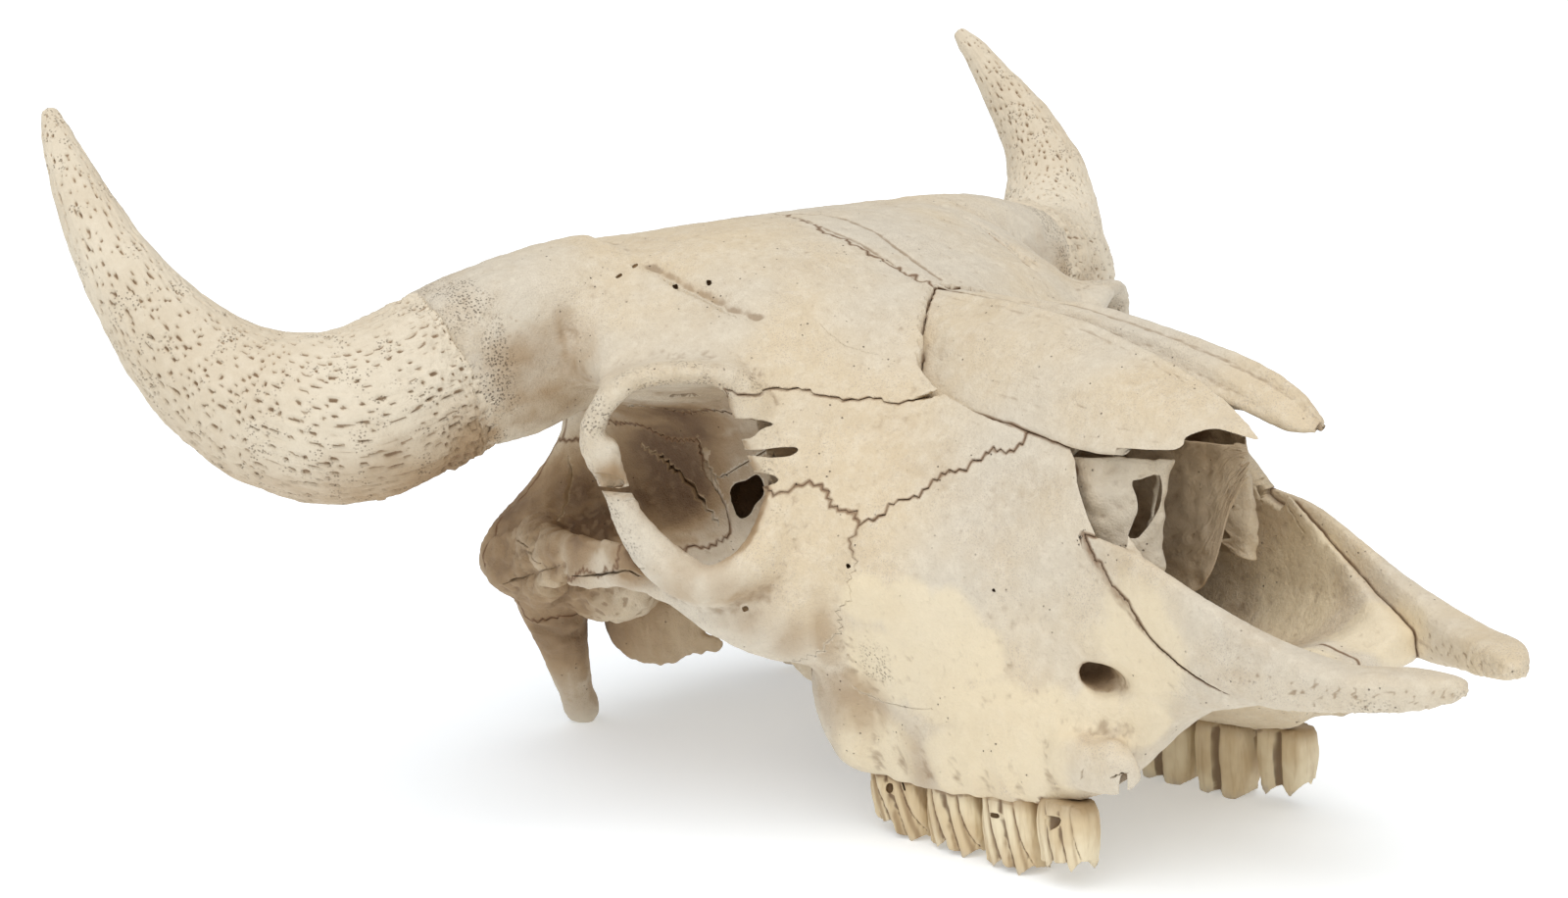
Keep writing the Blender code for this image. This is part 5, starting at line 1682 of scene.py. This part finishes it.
# Brown patches: real stain, and painted shade where the head turns away from the light, as on the temple,
# under the cheek bone and low on the jaw.
STAIN_AND_SHADE_SPOTS = [((530, 600), 52, 0.9), ((560, 650), 38, 0.9), ((590, 655), 24, 0.9), ((520, 520), 32, 0.9),
               ((690, 480), 34, 0.9), ((700, 425), 22, 0.9), ((620, 489), 9, 0.9), ((495, 445), 9, 0.8),
               ((560, 440), 20, 0.8), ((600, 545), 22, 0.9), ((580, 500), 20, 0.9), ((690, 605), 14, 0.5),
               ((740, 605), 13, 0.5), ((880, 725), 28, 0.72), ((930, 782), 26, 0.68), ((1000, 806), 22, 0.55),
               ((1060, 815), 18, 0.4), ((590, 560), 24, 0.8), ((636, 572), 18, 0.65), ((560, 575), 22, 0.8),
               ((770, 630), 18, 0.42), ((808, 655), 18, 0.42), ((845, 650), 20, 0.35), ((590, 715), 20, 0.5),
               ((520, 385), 30, 0.36), ((565, 405), 24, 0.38), ((490, 425), 20, 0.4)]
FAINT_SPOTS = [((862, 600), 16), ((850, 630), 20), ((830, 660), 20), ((812, 690), 20)]
SOCKET_REACH, SOCKET_SHADE, FAINTNESS = 42, 0.55, 0.9


def patches(spots):
    """Places on both sides of the head under the pixels, each with its radius and strength."""
    places = []
    for pixel, radius, *strength in spots:
        place = on_bone(*pixel)[0]
        if place:
            places += [(np.array(p), radius, *(strength or [1])) for p in (place, mirrored(place))]
    return places


def patched(points, places):
    share = np.zeros(len(points))
    for place, radius, strength in places:
        share = np.maximum(share, strength * bell(np.linalg.norm(points - place, axis=1), radius))
    return share


def socket_wall_shade(obj):
    """1 on the wall of the socket that faces back, which is given painted shade, and 0 elsewhere."""
    points, normals = points_of(obj), points_of(obj, "normal")
    share = np.zeros(len(points))
    for side in SIDES.values():
        for (x, y, z), _, _ in moved(SOCKET, orbit_shift(side))[1:]:
            toward = np.array((x * side, y, z)) - points
            gap = np.linalg.norm(toward, axis=1)
            facing = np.einsum("ij,ij->i", toward, normals) / np.maximum(gap, 1)
            ahead_of = toward[:, 1] / np.maximum(gap, 1)
            recess_shade = np.clip(facing * 3 - 1.5, 0, 1) * np.clip(ahead_of * 3 - 0.8, 0, 1)
            share = np.maximum(share, (gap < SOCKET_REACH) * recess_shade)
    return share


warm_places, stain_and_shade_places, faint_places = patches(WARM_SPOTS), patches(STAIN_AND_SHADE_SPOTS), patches(FAINT_SPOTS)
for obj in everything:
    cloud = points_of(obj)
    store(obj, "warm", patched(cloud, warm_places))
    # Painted shade deep in the nose: the upright plate and the left scroll are darkened throughout, and so is
    # the back wall of each socket.
    recess_shade = {divider: 0.5, scrolls["left"]: 0.35}.get(obj, 0)
    if obj not in horns.values():
        recess_shade = np.maximum(recess_shade, SOCKET_SHADE * socket_wall_shade(obj))
        store(obj, "stain_and_shade", np.maximum(patched(cloud, stain_and_shade_places), recess_shade))
        near = np.empty(len(cloud), np.float32)
        obj.data.attributes["seam"].data.foreach_get("value", near)
        store(obj, "seam", near * (1 - FAINTNESS * patched(cloud, faint_places)))
print("patches:", len(warm_places) + len(stain_and_shade_places) + len(faint_places))

# %% Dress every piece
pieces = {}
for key, obj in carved.items():
    pieces[key] = (obj, bone, "bone")
for word in SIDES:
    pieces["horn_core_" + word] = (horns[word], core_bone, "horn_core")
    pieces["nasal_" + word] = (nasals[word], nasal_bone, "bone")
    pieces["premaxilla_" + word] = (premaxillae[word], bone, "bone")
    pieces["bulla_" + word] = (bullae[word], shaded_ear_bone, "inner_bone")
    pieces["turbinate_" + word] = (scrolls[word], inner_bone, "inner_bone")
pieces["vomer"] = (divider, inner_bone, "inner_bone")
for key, obj in teeth.items():
    pieces[key] = (obj, enamel, "tooth")
for node, (obj, material, slot) in pieces.items():
    obj.data.materials.clear()
    obj.data.materials.append(material)
    obj.data.polygons.foreach_set("material_index", np.zeros(len(obj.data.polygons), np.int32))
    obj.data.shade_smooth()
    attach(obj, "root")
    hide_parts(node)
print(len(pieces), "pieces,", sum(triangles(p[0]) for p in pieces.values()), "triangles")

# %% [markdown]
# The stage is a plain white floor. The light is that of a catalogue photograph: a wide soft box overhead,
# made by a sun with a very broad disc, so that the floor is evenly white and the shadows are soft, and a
# pale sky that fills them.

# %% Floor
FLOOR_HALF = 40
PAPER = {"Base Color": rgb(0.90, 0.92, 0.94), "Roughness": 0.9,
         "Emission Color": rgb(0.93, 0.97, 1), "Emission Strength": 0.285}


def set_inputs(owner, node, values):
    """Sets the sockets of a node of a material or a world."""
    owner.use_nodes = True
    for name, value in values.items():
        owner.node_tree.nodes[node].inputs[name].default_value = value


bm = bmesh.new()
bmesh.ops.create_grid(bm, x_segments=1, y_segments=1, size=1)
bm.transform(Matrix.Diagonal((FLOOR_HALF, FLOOR_HALF, 1, 1)))
floor = to_object(bm, "floor", bpy.context.scene.collection)
paper = bpy.data.materials.new("paper")
set_inputs(paper, "Principled BSDF", PAPER)
floor.data.materials.append(paper)

# %% Lights
SUN_TOWARD, SUN_STRENGTH, SUN_BREADTH = Vector((-0.28, -0.30, 0.92)), 2.05, 80
SKY = {"Color": rgb(0.94, 0.97, 1.0), "Strength": 0.47}

sun = bpy.data.objects.new("soft_box", bpy.data.lights.new("soft_box", "SUN"))
bpy.context.scene.collection.objects.link(sun)
sun.data.energy = SUN_STRENGTH
sun.data.angle = math.radians(SUN_BREADTH)
sun.matrix_world = SUN_TOWARD.to_track_quat("Z", "Y").to_matrix().to_4x4()
sky = bpy.data.worlds.new("sky")
set_inputs(sky, "Background", SKY)
bpy.context.scene.world = sky
bpy.context.scene.view_settings.view_transform = "Standard"
